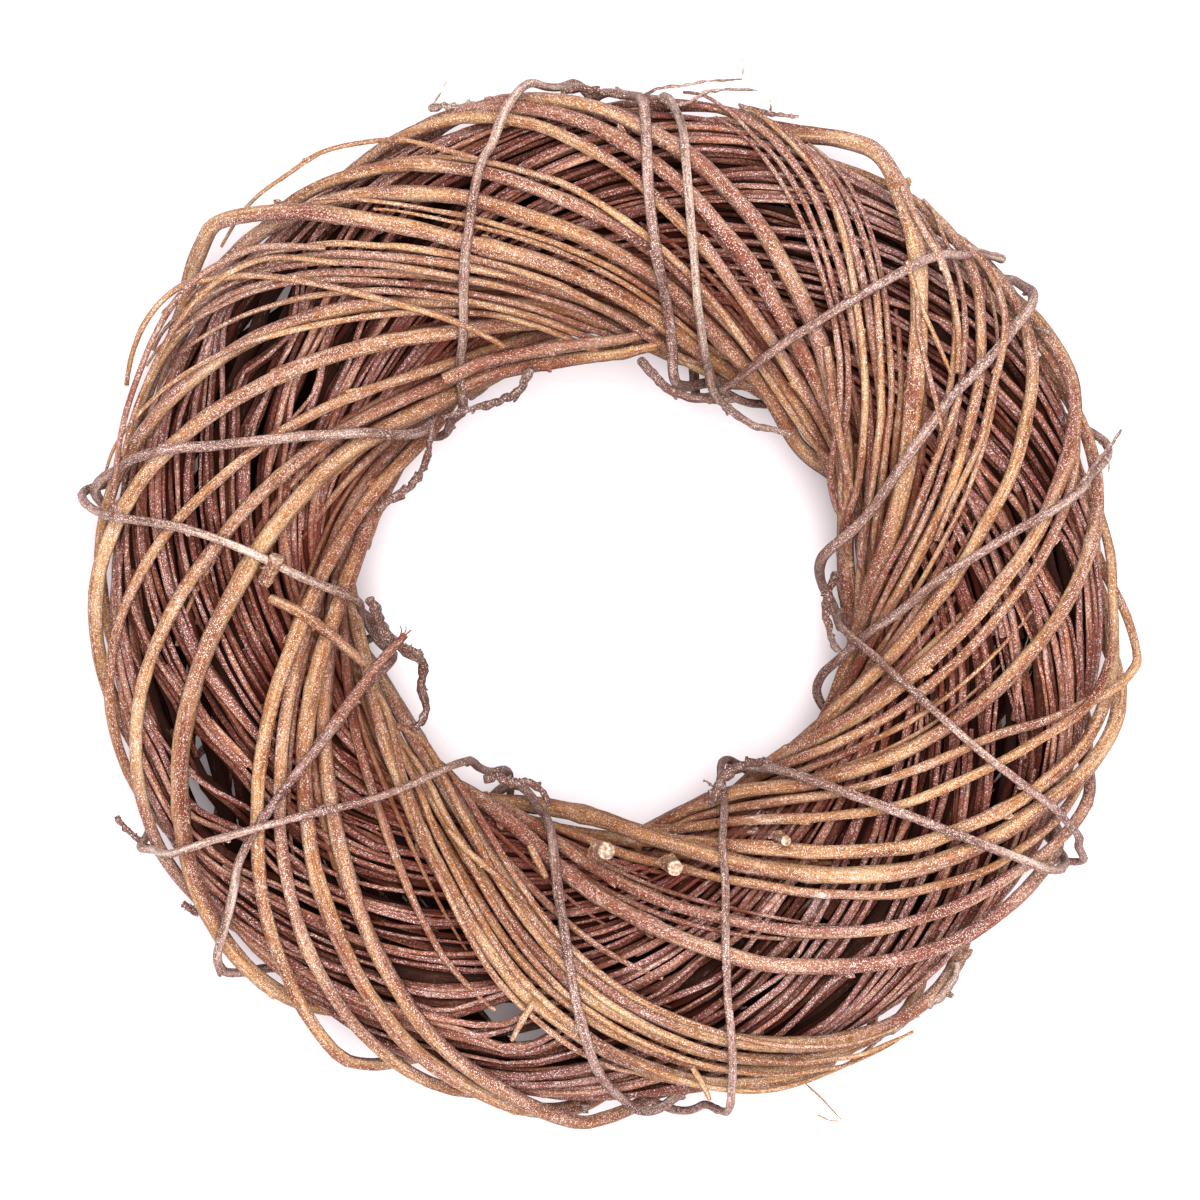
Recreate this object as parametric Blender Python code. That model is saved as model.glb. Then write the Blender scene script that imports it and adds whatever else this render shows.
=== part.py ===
"""Willow wreath, lying flat on its back.

A thick bed of fine dark twigs is twisted one way round the ring, long tan willow rods wind over it the
other way, and two thin binding twigs zigzag over both. Sizes here are in millimetres and angles in degrees.
A place on the ring has two angles. Its turn runs round the ring, anticlockwise from +X. Its roll runs round
the ring's section: 0 at the outer edge, 90 on top, 180 at the hole and 270 underneath.
"""

import math
import random

import bmesh
import bpy
import numpy as np

METRES = 0.001

# The ring
RING_RADIUS = 111.2       # from the hole's centre to the middle of the section
BED_HALF_WIDTH = 33.8     # of the section of the fine twigs
BED_HALF_HEIGHT = 25.5
WINDING_HALF_WIDTH = 39.0  # of the section that the rods' centre lines follow
HOLE_WIDER = -0.35        # of the hole's edge, on average
# Swings of the hole's edge from its circle: reach, how many round the ring, and a turn where it is widest
HOLE_SWINGS = ((5.6, 1, 92.0), (2.0, 2, 12.0), (1.0, 4, 10.0), (1.3, 6, 37.0))
FLAT_DEPTH = 0.8          # worn off the binding twigs underneath, where the wreath rests on them

# The bed of fine twigs
SECTORS = 12
SECTOR_STEPS = 3          # sections along each sector
SECTOR_GAP = 0.26         # degrees between two sectors
RIDGES = 28               # bundles of fine twigs round the section
RIDGE_DEPTH = (2.0, 3.6)  # groove beside a bundle
RIDGE_SINK = (0.0, 0.95)  # how far a bundle lies below the full outline
RIDGE_WANDER = 0.12       # of the room between two bundles, by which one is out of place
BED_SEED = 100
BED_SLOPE = 1.1           # flow of the fine twigs for each degree of turn

# The rods and the binding
ROD_SEGMENTS = 22
BINDING_SEGMENTS = 14     # for each time round the section
ROUTE_STEPS = (180, 120)  # before the segments are evened out: of a rod, and of a binding twig's turn round
ROUTE_SMOOTHING = (60, 90)
ROUTE_HEIGHT = 3.0        # over the bed, at which a route's length is measured
BINDING_THICKNESS = (3.1, 2.8)
BACK_SLOPE = 1.85         # flow for each degree of turn on the underside
BED_CLEARANCE = 0.6       # rods to the bed, which has straight edges between its sections
ROD_CLEARANCE = 0.35      # rods to one another
ROD_CLIMB = 0.22          # steepest rise of a rod on to another
BINDING_CLIMB = 0.45
EDGE_ROOM = 0.74          # millimetres across the rods for each degree of turn at the hole's edge
EDGE_SHARE = 0.9          # of the room that rods side by side there would need
STRAIGHT_UNDER = 26.0     # flow each side of the lowest line where the rods run side by side
END_SPREAD = 16.0         # flow by which their ends there differ
END_GAP = 2.8             # flow left at each end, so that one rod stops short of the next
END_SEED = 11
TIP_SHARE = 0.82          # thickness at a rod's thin end
BUTT_SHARE = 1.0
SAMPLES = 10              # places tested on each straight stretch
CLOSE_ENOUGH = 0.005      # millimetres that a rod may still lack of its clearance
TUBE_SIDES_SETTING = 1    # bevel resolution 1 gives six sides

# Turn at which each rod crosses the top of the ring, its slope there, and its thickness
ROD_LAYOUT = (
    (-14.5, 2.0, 4.4), (-2.5, 2.3, 3.3), (1.9, 2.5, 5.0), (12.1, 2.5, 4.4), (23.9, 2.6, 3.4), (37.9, 2.4, 6.0),
    (48.0, 2.6, 3.0), (52.2, 2.6, 3.0), (64.0, 1.7, 5.3), (72.5, 1.9, 5.0), (79.5, 2.1, 4.2), (92.3, 1.75, 4.5),
    (100.4, 1.75, 4.8), (112.9, 1.95, 5.4), (118.8, 2.3, 3.2), (122.6, 2.3, 3.0), (130.4, 1.6, 4.2),
    (143.6, 1.75, 5.0), (158.6, 1.8, 3.6), (170.5, 1.7, 4.5), (183.5, 1.55, 5.5), (208.0, 1.65, 4.5),
    (213.6, 1.75, 4.4), (221.5, 1.6, 5.5), (230.5, 1.5, 4.7), (256.4, 1.7, 4.7), (261.6, 1.75, 3.3),
    (266.2, 1.75, 4.1), (271.0, 1.75, 5.0), (293.0, 1.75, 5.0), (302.2, 1.8, 4.2), (311.5, 2.3, 3.2),
    (316.0, 2.0, 5.2), (321.8, 2.2, 4.6), (332.0, 2.2, 3.4), (339.3, 2.3, 3.2),
)

# Rods with a kink that stands out past the outer edge: the crossing's turn, the kink's turn, and its reach
KINKS = {
    37.9: (59.5, 5.0),
    112.9: (136.0, 10.0),
    208.0: (240.0, 5.5),
    230.5: (267.5, 4.0),
    339.3: (353.5, 9.5),
}
KINK_SPREAD = (11.0, 9.0)  # degrees of turn over which it leaves the ring and comes back
KINK_TO_EDGE = 2.0        # degrees from the kink to where the rod goes under the ring

# Each pass of a binding twig over the top: turn at the hole, on top of the ring, and at the outer edge
RISING_PASSES = (
    (8.0, 31.4, 35.4), (70.0, 84.1, 86.5), (130.0, 156.0, 168.5), (194.0, 211.0, 224.5),
    (252.0, 265.4, 274.5), (311.0, 326.4, 330.0), (345.0, 369.6, 376.5), (422.0, 438.2, 443.6),
)
FALLING_PASSES = (
    (65.0, 51.0, 41.0), (130.0, 111.0, 96.0), (185.0, 169.6, 170.5), (234.0, 212.9, 208.0),
    (306.0, 287.3, 282.5), (358.0, 338.2, 333.0),
)
BINDING_LOOP = 1.5        # slack of a binding twig at the outer edge
HOLE_RUN = (212.0, 14.0)  # flow by which a rising pass has run along under the hole's edge, and how far
UNDER_RUN = 30.0          # roll each side of the lowest line over which a binding twig runs level
UNDER_HEIGHT = 9.6        # of its centre line over the bed there, clear of the rods

COLOURS = {
    "bed": (0.085, 0.042, 0.033),
    "rod_tan": (0.46, 0.27, 0.13),
    "rod_gold": (0.55, 0.33, 0.13),
    "rod_red": (0.33, 0.17, 0.10),
    "binding": (0.24, 0.16, 0.13),
}
THIN_ROD = 3.3            # rods under this are the reddish ones
GOLDEN_EVERY = 3          # of the others


# Places on the ring

SQUEEZE = math.sqrt((RING_RADIUS - WINDING_HALF_WIDTH) / (RING_RADIUS + WINDING_HALF_WIDTH))


def flow_of(roll):
    """The roll, stretched so that a twig of steady slope has its turn grow evenly with it."""
    whole = 360 * math.floor((roll + 180) / 360)
    half = math.radians((roll - whole) / 2)
    return whole + 2 * math.degrees(math.atan2(SQUEEZE * math.sin(half), math.cos(half)))


def roll_of(flow):
    """The roll that has this flow."""
    whole = 360 * math.floor((flow + 180) / 360)
    half = math.radians((flow - whole) / 2)
    return whole + 2 * math.degrees(math.atan2(math.sin(half), SQUEEZE * math.cos(half)))


def half_width(turn, inside):
    """Of the bed's section: its half on the hole's side is narrower where the hole is wider."""
    wider = HOLE_WIDER
    for reach, waves, widest in HOLE_SWINGS:
        wider = wider + reach * np.cos(np.radians(waves * (turn - widest)))
    return BED_HALF_WIDTH - np.where(inside, wider, 0)


def on_ring(turn, roll, height):
    """Points at some height over the bed, and the way out of it there."""
    width = half_width(turn, np.cos(np.radians(roll)) < 0)
    turn, roll = np.radians(turn), np.radians(roll)
    out, up = np.cos(roll) / width, np.sin(roll) / BED_HALF_HEIGHT
    length = np.hypot(out, up)
    out, up = out / length, up / length
    radius = RING_RADIUS + width * np.cos(roll) + out * height
    level = BED_HALF_HEIGHT * np.sin(roll) + up * height
    points = np.stack([radius * np.cos(turn), radius * np.sin(turn), level], axis=-1)
    outward = np.stack([out * np.cos(turn), out * np.sin(turn), up], axis=-1)
    return points, outward


def height_over_bed(points):
    """How far points are from the bed's full outline."""
    away = np.hypot(points[:, 0], points[:, 1]) - RING_RADIUS
    width = half_width(np.degrees(np.arctan2(points[:, 1], points[:, 0])), away < 0)
    across, up = away / width, points[:, 2] / BED_HALF_HEIGHT
    level = np.hypot(across, up)
    steepness = np.hypot(across / width, up / BED_HALF_HEIGHT) / level
    return (level - 1) / steepness


# Routes

def smoothed(values, times):
    """Values with their corners rounded and both ends kept."""
    values = np.array(values, float)
    for _ in range(times):
        values[1:-1] = (values[:-2] + 2 * values[1:-1] + values[2:]) / 4
    return values


def even_steps(turn, flow, lift, segments):
    """The same route with its points evenly far apart."""
    roll = np.array([roll_of(f) for f in flow])
    points, _ = on_ring(turn, roll, lift + ROUTE_HEIGHT)
    along = np.concatenate([[0], np.cumsum(np.linalg.norm(np.diff(points, axis=0), axis=1))])
    places = np.linspace(0, along[-1], segments + 1)
    return np.interp(places, along, turn), np.interp(places, along, roll), np.interp(places, along, lift)


def underside_turns(edge_turns, offset):
    """Evens out where the rods cross the underside, in the order in which they leave the edge."""
    count = len(edge_turns)
    order = np.argsort(edge_turns)
    first = np.mean(edge_turns) + offset - 180 + 180 / count
    first = round(first / (360 / count)) * (360 / count)
    turns = np.empty(count)
    turns[order] = first + np.arange(count) * 360 / count
    return turns


def apart_at_hole(turns, thicknesses):
    """Moves rods apart that would heap up at the hole's edge, in the order in which they cross the top."""
    room = (thicknesses + np.roll(thicknesses, -1)) / 2 * EDGE_SHARE / EDGE_ROOM
    turns = turns.copy()
    for _ in range(200):
        following = np.append(turns[1:], turns[0] + 360)
        short = np.maximum(room - (following - turns), 0) / 2
        turns += np.roll(short, 1) - short
    return turns


def rod_routes():
    """Turn, roll and slack along each rod, from under the hole over the top to under the outer edge."""
    crossings, slopes, thicknesses = (np.array(column) for column in zip(*ROD_LAYOUT))
    top = flow_of(90)
    leave = crossings + top / slopes
    for i, crossing in enumerate(crossings):
        if crossing in KINKS:
            leave[i] = KINKS[crossing][0] + KINK_TO_EDGE
    enter = apart_at_hole(crossings - (180 - top) / slopes, thicknesses)
    tails = underside_turns(leave, top / BACK_SLOPE)
    heads = underside_turns(enter, (top - 180) / BACK_SLOPE)
    rng = random.Random(END_SEED)
    cuts = {}
    routes = []
    for i, crossing in enumerate(crossings):
        tail_cut = cuts.setdefault(round(tails[i]) % 360, rng.uniform(-END_SPREAD, END_SPREAD))
        head_cut = cuts.setdefault(round(heads[i]) % 360, rng.uniform(-END_SPREAD, END_SPREAD))
        near, far = -top, 360 - top
        known_flow = [near - STRAIGHT_UNDER, near + STRAIGHT_UNDER, 0, top, 180]
        known_flow += [far - STRAIGHT_UNDER, far + STRAIGHT_UNDER]
        aside = STRAIGHT_UNDER / BACK_SLOPE
        known_turn = [tails[i] + aside, tails[i] - aside, leave[i], crossing, enter[i]]
        known_turn += [heads[i] + aside, heads[i] - aside]
        flow = np.linspace(360 - top + head_cut - END_GAP, tail_cut - top + END_GAP, ROUTE_STEPS[0] + 1)
        turn = smoothed(np.interp(flow, known_flow, known_turn), ROUTE_SMOOTHING[0])
        lift = np.zeros(len(flow))
        if crossing in KINKS:
            at, reach = KINKS[crossing]
            spread = np.where(turn < at, KINK_SPREAD[0], KINK_SPREAD[1])
            lift = reach * np.clip(1 - np.abs(turn - at) / spread, 0, 1)
        routes.append(even_steps(turn, flow, lift, ROD_SEGMENTS))
    return routes


def level_run(turn, roll):
    """Height that takes a binding twig down to one level all along the lowest line of the ring."""
    steep = np.abs(np.sin(np.radians(roll)))
    out = np.cos(np.radians(roll)) / half_width(turn, np.cos(np.radians(roll)) < 0)
    up = steep / BED_HALF_HEIGHT
    height = (BED_HALF_HEIGHT + UNDER_HEIGHT - BED_HALF_HEIGHT * steep) * np.hypot(out, up)
    under = np.abs((roll - 90) % 360 - 180) < UNDER_RUN
    return np.where(under, height / np.where(under, up, 1), 0)


def binding_route(passes, rising):
    """A binding twig's whole way: over the top at each pass, and back underneath to the next one."""
    top = flow_of(90)
    known_flow, known_turn = [], []
    for n, (hole, crest, edge) in enumerate(passes):
        stops = [(180, hole), (top, crest), (0, edge)]
        if rising:
            stops.insert(0, (HOLE_RUN[0], hole - HOLE_RUN[1]))
        else:
            stops.reverse()
        base = -360 * n if rising else 360 * n
        known_flow += [base + f for f, _ in stops]
        known_turn += [t for _, t in stops]
        if n + 1 < len(passes):
            following = passes[n + 1][0] if rising else passes[n + 1][2]
            under = -top if rising else 360 - top
            known_flow.append(base + under)
            known_turn.append((stops[-1][1] + following) / 2)
    flow = np.linspace(known_flow[0], known_flow[-1], ROUTE_STEPS[1] * len(passes))
    sign = -1 if rising else 1
    turn = smoothed(np.interp(sign * flow, sign * np.array(known_flow), known_turn), ROUTE_SMOOTHING[1])
    lift = BINDING_LOOP * np.clip(np.cos(np.radians(flow)), 0, 1) ** 4
    return even_steps(turn, flow, lift, BINDING_SEGMENTS * len(passes))


# Laying one twig over the others

def raised(points, outward, need, starts, ends, needs):
    """How far out each point must move to be clear of straight stretches that are already laid."""
    along = ends - starts
    length = np.einsum("ij,ij->i", along, along)
    away = points[:, None, :] - starts[None, :, :]
    share = np.clip(np.einsum("pij,ij->pi", away, along) / length, 0, 1)
    away = away - share[..., None] * along[None, :, :]
    distance = np.einsum("pij,pij->pi", away, away)
    wanted = (need + needs) ** 2
    facing = np.einsum("pij,pj->pi", away, outward)
    move = -facing + np.sqrt(np.maximum(facing ** 2 - distance + wanted, 0))
    return np.where(distance < wanted, move, 0).max(axis=1)


def cleared(turn, roll, height, radius, climb, laid):
    """Heights raised until a rod is clear of the bed and of everything laid before it."""
    shares = np.linspace(0, 1, SAMPLES, endpoint=False)
    both = (1 - shares) ** 2 + shares ** 2
    for _ in range(400):
        points, outward = on_ring(turn, roll, height)
        first, last = points[:-1], points[1:]
        tested = (first[:, None] * (1 - shares)[:, None] + last[:, None] * shares[:, None]).reshape(-1, 3)
        way = np.repeat(outward[:-1], SAMPLES, axis=0)
        move = np.maximum(radius + BED_CLEARANCE - height_over_bed(tested), 0)
        if laid:
            starts, ends, needs = (np.concatenate(column) for column in zip(*laid))
            move = np.maximum(move, raised(tested, way, radius + ROD_CLEARANCE, starts, ends, needs))
        move = move.reshape(-1, SAMPLES)
        if move.max() < CLOSE_ENOUGH:
            break
        move = np.where(move > 0, move + CLOSE_ENOUGH, 0)
        before = (move * (1 - shares) / both).max(axis=1)
        after = (move * shares / both).max(axis=1)
        height = height + np.maximum(np.append(before, 0), np.append(0, after))
        along = np.concatenate([[0], np.cumsum(np.linalg.norm(np.diff(points, axis=0), axis=1))])
        height = (height[None, :] - climb * np.abs(along[:, None] - along[None, :])).max(axis=1)
    return height


def lay(route, radius, climb, laid, level_under=False):
    """Points of a rod that lies on the bed and over everything laid before it."""
    turn, roll, lift = route
    height = cleared(turn, roll, radius + BED_CLEARANCE + lift, radius, climb, laid)
    if level_under:
        height = cleared(turn, roll, np.maximum(height, level_run(turn, roll)), radius, climb, laid)
    points, _ = on_ring(turn, roll, height)
    laid.append((points[:-1], points[1:], np.full(len(points) - 1, radius)))
    return points


# Solids

def finished(name, colour):
    """A material for one kind of twig."""
    material = bpy.data.materials.get(name) or bpy.data.materials.new(name)
    material.use_nodes = True
    shader = material.node_tree.nodes["Principled BSDF"]
    shader.inputs["Base Color"].default_value = (*colour, 1.0)
    shader.inputs["Roughness"].default_value = 0.75
    shader.inputs["Metallic"].default_value = 0.0
    return material


def add_twig(name, points, thickness, material, collection):
    """A round twig along its points, a little thinner at its tip, with its lowest places worn flat."""
    curve = bpy.data.curves.new(name, "CURVE")
    curve.dimensions = "3D"
    curve.bevel_depth = thickness / 2 * METRES
    curve.bevel_resolution = TUBE_SIDES_SETTING
    curve.use_fill_caps = True
    spline = curve.splines.new("POLY")
    spline.points.add(len(points) - 1)
    for place, point, share in zip(spline.points, points, np.linspace(BUTT_SHARE, TIP_SHARE, len(points))):
        place.co = (*(point * METRES), 1.0)
        place.radius = share
    guide = bpy.data.objects.new(name + "_line", curve)
    collection.objects.link(guide)
    mesh = bpy.data.meshes.new_from_object(guide.evaluated_get(bpy.context.evaluated_depsgraph_get()))
    bpy.data.objects.remove(guide)
    shape = bmesh.new()
    shape.from_mesh(mesh)
    bmesh.ops.remove_doubles(shape, verts=shape.verts, dist=1e-6)
    for vert in shape.verts:
        vert.co.z = max(vert.co.z, 0.0)
    bmesh.ops.triangulate(shape, faces=shape.faces)
    shape.to_mesh(mesh)
    shape.free()
    mesh.name = name
    mesh.shade_smooth()
    twig = bpy.data.objects.new(name, mesh)
    mesh.materials.clear()
    mesh.materials.append(material)
    collection.objects.link(twig)
    return twig


def add_bed_sector(number, middle, level, material, collection):
    """One sector of the fine twigs: bundles as ridges, twisted round a core."""
    rng = random.Random(BED_SEED + number)
    half_turn = 180 / SECTORS - SECTOR_GAP / 2
    sinks, rolls = [], []
    for ridge in range(RIDGES):
        roll = 360 * (ridge + rng.uniform(-RIDGE_WANDER, RIDGE_WANDER)) / RIDGES
        sink = rng.uniform(*RIDGE_SINK)
        sinks += [sink, sink + rng.uniform(*RIDGE_DEPTH)]
        rolls += [roll, 360 * (ridge + 0.5) / RIDGES]
    shape = bmesh.new()
    rings = []
    for step in range(SECTOR_STEPS + 1):
        away = -half_turn + 2 * half_turn * step / SECTOR_STEPS
        turned = np.array([roll_of(flow_of(roll) + BED_SLOPE * away) for roll in rolls])
        points, _ = on_ring(np.full(len(rolls), middle + away), turned, -np.array(sinks))
        points[:, 2] += level
        rings.append([shape.verts.new(point * METRES) for point in points])
    for ring, following in zip(rings, rings[1:]):
        for n in range(len(ring)):
            m = (n + 1) % len(ring)
            shape.faces.new((ring[n], following[n], following[m], ring[m]))
    ends = [shape.faces.new(rings[0]), shape.faces.new(rings[-1][::-1])]
    bmesh.ops.poke(shape, faces=ends)
    bmesh.ops.triangulate(shape, faces=shape.faces)
    name = f"twig_bed_{number + 1:02d}"
    mesh = bpy.data.meshes.new(name)
    shape.to_mesh(mesh)
    shape.free()
    mesh.materials.append(material)
    collection.objects.link(bpy.data.objects.new(name, mesh))


def rod_material(number, thickness):
    """Thin rods are reddish, and the thick ones tan or golden."""
    if thickness < THIN_ROD:
        return finished("reddish willow bark", COLOURS["rod_red"])
    if number % GOLDEN_EVERY == 0:
        return finished("golden willow bark", COLOURS["rod_gold"])
    return finished("tan willow bark", COLOURS["rod_tan"])


def main():
    for old in list(bpy.data.objects):
        bpy.data.objects.remove(old)
    collection = bpy.data.collections.new("willow_wreath")
    bpy.context.scene.collection.children.link(collection)

    laid, twigs = [], []
    routes = rod_routes()
    thicknesses = [thickness for _, _, thickness in ROD_LAYOUT]
    for i in sorted(range(len(routes)), key=lambda n: thicknesses[n]):
        points = lay(routes[i], thicknesses[i] / 2, ROD_CLIMB, laid)
        name = f"willow_rod_{i + 1:02d}"
        twigs.append((name, points, thicknesses[i], rod_material(i, thicknesses[i])))
    windings = ((RISING_PASSES, True), (FALLING_PASSES, False))
    for n, (passes, rising) in enumerate(windings):
        thickness = BINDING_THICKNESS[n]
        points = lay(binding_route(passes, rising), thickness / 2, BINDING_CLIMB, laid, level_under=True)
        bark = finished("binding bark", COLOURS["binding"])
        twigs.append((f"binding_twig_{n + 1:02d}", points, thickness, bark))

    lowest = min(points[:, 2].min() - thickness / 2 for _, points, thickness, _ in twigs)
    level = -lowest - FLAT_DEPTH
    for number in range(SECTORS):
        middle = 360 * (number + 0.5) / SECTORS
        add_bed_sector(number, middle, level, finished("fine dark twigs", COLOURS["bed"]), collection)
    for name, points, thickness, material in sorted(twigs, key=lambda twig: twig[0]):
        points[:, 2] += level
        add_twig(name, points, thickness, material, collection)


main()
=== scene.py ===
# Willow wreath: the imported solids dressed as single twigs, with floor, light and camera
import functools
import math
import random
import bmesh
import bpy
import numpy as np
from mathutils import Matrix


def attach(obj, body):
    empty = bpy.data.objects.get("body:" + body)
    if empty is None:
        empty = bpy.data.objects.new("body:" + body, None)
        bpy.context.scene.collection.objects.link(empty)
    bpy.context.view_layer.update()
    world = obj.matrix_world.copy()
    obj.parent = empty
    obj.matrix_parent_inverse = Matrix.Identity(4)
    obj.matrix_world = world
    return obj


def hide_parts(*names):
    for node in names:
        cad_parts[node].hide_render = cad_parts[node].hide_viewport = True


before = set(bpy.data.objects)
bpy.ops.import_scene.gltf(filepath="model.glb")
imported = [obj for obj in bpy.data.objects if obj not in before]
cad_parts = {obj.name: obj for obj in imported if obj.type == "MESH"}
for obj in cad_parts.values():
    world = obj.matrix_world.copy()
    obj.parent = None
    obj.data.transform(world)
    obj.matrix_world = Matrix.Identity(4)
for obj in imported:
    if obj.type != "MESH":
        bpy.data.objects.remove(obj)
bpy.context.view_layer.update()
mm = 0.001  # lengths below are in millimetres, angles in degrees

photo = {
    "cameraHeight": 1200.0,  # over the floor, looking straight down
    "seenWidth": 361.0,  # at floor level
    "aside": (-1.75, 0.9),
}


def placeCamera():
    x, y = photo["aside"]
    bpy.ops.object.camera_add(location=(x * mm, y * mm, photo["cameraHeight"] * mm), rotation=(0, 0, 0))
    camera = bpy.context.object
    camera.name = "photoCamera"
    camera.data.sensor_fit = "HORIZONTAL"
    camera.data.angle = 2 * math.atan(photo["seenWidth"] / 2 / photo["cameraHeight"])
    bpy.context.scene.camera = camera


# the ring: turn runs round it from +X, roll round its section: 0 outer edge, 90 top, 180 hole
ring = {
    "radius": 111.2,
    "bedHalfWidth": 33.8,
    "bedHalfHeight": 25.5,
    "windingHalfWidth": 39.0,
    "underHeight": 9.6,
    "flatDepth": 0.8,
    "holeWider": -0.35,
    # swings of the hole's edge: reach, how many round the ring, and a turn where it is widest
    "holeSwings": ((5.6, 1, 92.0), (2.0, 2, 12.0), (1.0, 4, 10.0), (1.3, 6, 37.0)),
}
squeeze = math.sqrt((ring["radius"] - ring["windingHalfWidth"]) / (ring["radius"] + ring["windingHalfWidth"]))


def flowOf(roll):
    # the roll, stretched so that a twig of steady slope has its turn grow evenly with it
    whole = 360 * np.floor((roll + 180) / 360)
    half = np.radians((roll - whole) / 2)
    return whole + 2 * np.degrees(np.arctan2(squeeze * np.sin(half), np.cos(half)))


def rollOf(flow):
    whole = 360 * np.floor((flow + 180) / 360)
    half = np.radians((flow - whole) / 2)
    return whole + 2 * np.degrees(np.arctan2(np.sin(half), squeeze * np.cos(half)))


def halfWidth(turn, inside):
    # of the bed's section: its half on the hole's side is narrower where the hole is wider
    wider = ring["holeWider"]
    for reach, waves, widest in ring["holeSwings"]:
        wider = wider + reach * np.cos(np.radians(waves * (turn - widest)))
    return ring["bedHalfWidth"] - np.where(inside, wider, 0)


def onRing(turn, roll, height):
    # points at a height over the bed, and the way out of it there
    width = halfWidth(turn, np.cos(np.radians(roll)) < 0)
    turn, roll = np.radians(turn), np.radians(roll)
    out, up = np.cos(roll) / width, np.sin(roll) / ring["bedHalfHeight"]
    length = np.hypot(out, up)
    out, up = out / length, up / length
    radius = ring["radius"] + width * np.cos(roll) + out * height
    level = ring["bedHalfHeight"] * np.sin(roll) + up * height
    points = np.stack([radius * np.cos(turn), radius * np.sin(turn), level], axis=-1)
    outward = np.stack([out * np.cos(turn), out * np.sin(turn), up], axis=-1)
    return points, outward


def overFloor(turn, roll, height):
    # the same points, with their height over the floor
    points, _ = onRing(turn, roll, height)
    return points + (0, 0, middleLevel)


def heightOverBed(points):
    away = np.hypot(points[:, 0], points[:, 1]) - ring["radius"]
    width = halfWidth(np.degrees(np.arctan2(points[:, 1], points[:, 0])), away < 0)
    across, up = away / width, points[:, 2] / ring["bedHalfHeight"]
    level = np.hypot(across, up)
    steepness = np.hypot(across / width, up / ring["bedHalfHeight"]) / level
    return (level - 1) / steepness


topFlow = float(flowOf(90.0))


# routes of the rods and the binding, the same as the solids have
rods = {
    # turn on top of the ring, slope, thickness, and how golden its bark is
    "layout": (
        (-14.5, 2, 4.4, 0.6), (-2.5, 2.3, 3.3, 0.5), (1.9, 2.5, 5, 0.6), (12.1, 2.5, 4.4, 0.8),
        (23.9, 2.6, 3.4, 0.4), (37.9, 2.4, 6, 0.5), (48, 2.6, 3, 0.1), (52.2, 2.6, 3, 0.1),
        (64, 1.7, 5.3, 0.2), (72.5, 1.9, 5, 0.2), (79.5, 2.1, 4.2, 0.4), (92.3, 1.75, 4.5, 0.2),
        (100.4, 1.75, 4.8, 0.3), (112.9, 1.95, 5.4, 0.6), (118.8, 2.3, 3.2, 0.4), (122.6, 2.3, 3, 0.4),
        (130.4, 1.6, 4.2, 0.7), (143.6, 1.75, 5, 0.9), (158.6, 1.8, 3.6, 0.8), (170.5, 1.7, 4.5, 0.8),
        (183.5, 1.55, 5.5, 0.9), (208, 1.65, 4.5, 0.7), (213.6, 1.75, 4.4, 0.6), (221.5, 1.6, 5.5, 0.6),
        (230.5, 1.5, 4.7, 0.6), (256.4, 1.7, 4.7, 0.9), (261.6, 1.75, 3.3, 1), (266.2, 1.75, 4.1, 0.9),
        (271, 1.75, 5, 0.4), (293, 1.75, 5, -0.2), (302.2, 1.8, 4.2, 0.1), (311.5, 2.3, 3.2, 0.9),
        (316, 2, 5.2, 0.9), (321.8, 2.2, 4.6, 0.9), (332, 2.2, 3.4, 0.9), (339.3, 2.3, 3.2, 0.8),
    ),
    # rods with a sharp bend, by their turn on top of the ring: turn of the bend, and how far it stands out
    "kinks": {
        37.9: (59.5, 5), 112.9: (136, 10), 208: (240, 5.5), 230.5: (267.5, 4), 339.3: (353.5, 9.5),
    },
    "kinkSpread": (11.0, 9.0),
    "kinkToEdge": 2.0,
    "segments": 22,
    "routePoints": 181,
    "routeSmoothing": 60,
    "backSlope": 1.85,
    "edgeRoom": 0.74,  # degrees of turn for one millimetre of rod at the hole
    "edgeShare": 0.9,
    "edgeRounds": 200,
    "straightUnder": 26.0,
    "endSpread": 16.0,
    "endGap": 2.8,
    "endSeed": 11,
    "climb": 0.22,  # steepest rise of a rod's height along it
    "tip": 0.82,
    "finer": 6,  # points here for one of the solid's
    # waves and reach of how it wanders sideways and up, how its thickness and how its gold change
    "sway": ((28, 60, 130), 0.5),
    "rise": ((35, 70), 0.2),
    "lumps": ((22, 47), 0.08),
    "goldSwing": ((70, 160), 0.4),
    "rough": (4.0, 0.3),
}
binding = {
    # turn at the hole, on top of the ring, and at the outer edge
    "rising": (
        (8, 31.4, 35.4), (70, 84.1, 86.5), (130, 156, 168.5), (194, 211, 224.5),
        (252, 265.4, 274.5), (311, 326.4, 330), (345, 369.6, 376.5), (422, 438.2, 443.6),
    ),
    "falling": (
        (65, 51, 41), (130, 111, 96), (185, 169.6, 170.5), (234, 212.9, 208),
        (306, 287.3, 282.5), (358, 338.2, 333),
    ),
    "holeRun": (212.0, 14.0),  # flow by which a rising pass has run along under the hole's edge, and how far
    "thickness": (3.1, 2.8),
    "paleAt": 438.2,  # turn of the one whitish stretch
    "segments": 28,
    "routePoints": 120,
    "routeSmoothing": 90,
    "loop": 1.5,
    "underRun": 30.0,
    "climb": 0.45,
    "finer": 4,
    "sway": ((50, 110), 0.2),
    "lumps": ((22, 47), 0.06),
    "rough": (4.0, 0.3),
}
middleLevel = ring["bedHalfHeight"] + ring["underHeight"] + binding["thickness"][0] / 2 - ring["flatDepth"]
laying = {
    "bedClearance": 0.6,
    "rodClearance": 0.35,
    "closeEnough": 0.005,
    "routeHeight": 3.0,
    "rounds": 400,
}


def smoothed(values, times):
    values = np.array(values, float)
    for _ in range(times):
        values[1:-1] = (values[:-2] + 2 * values[1:-1] + values[2:]) / 4
    return values


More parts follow.
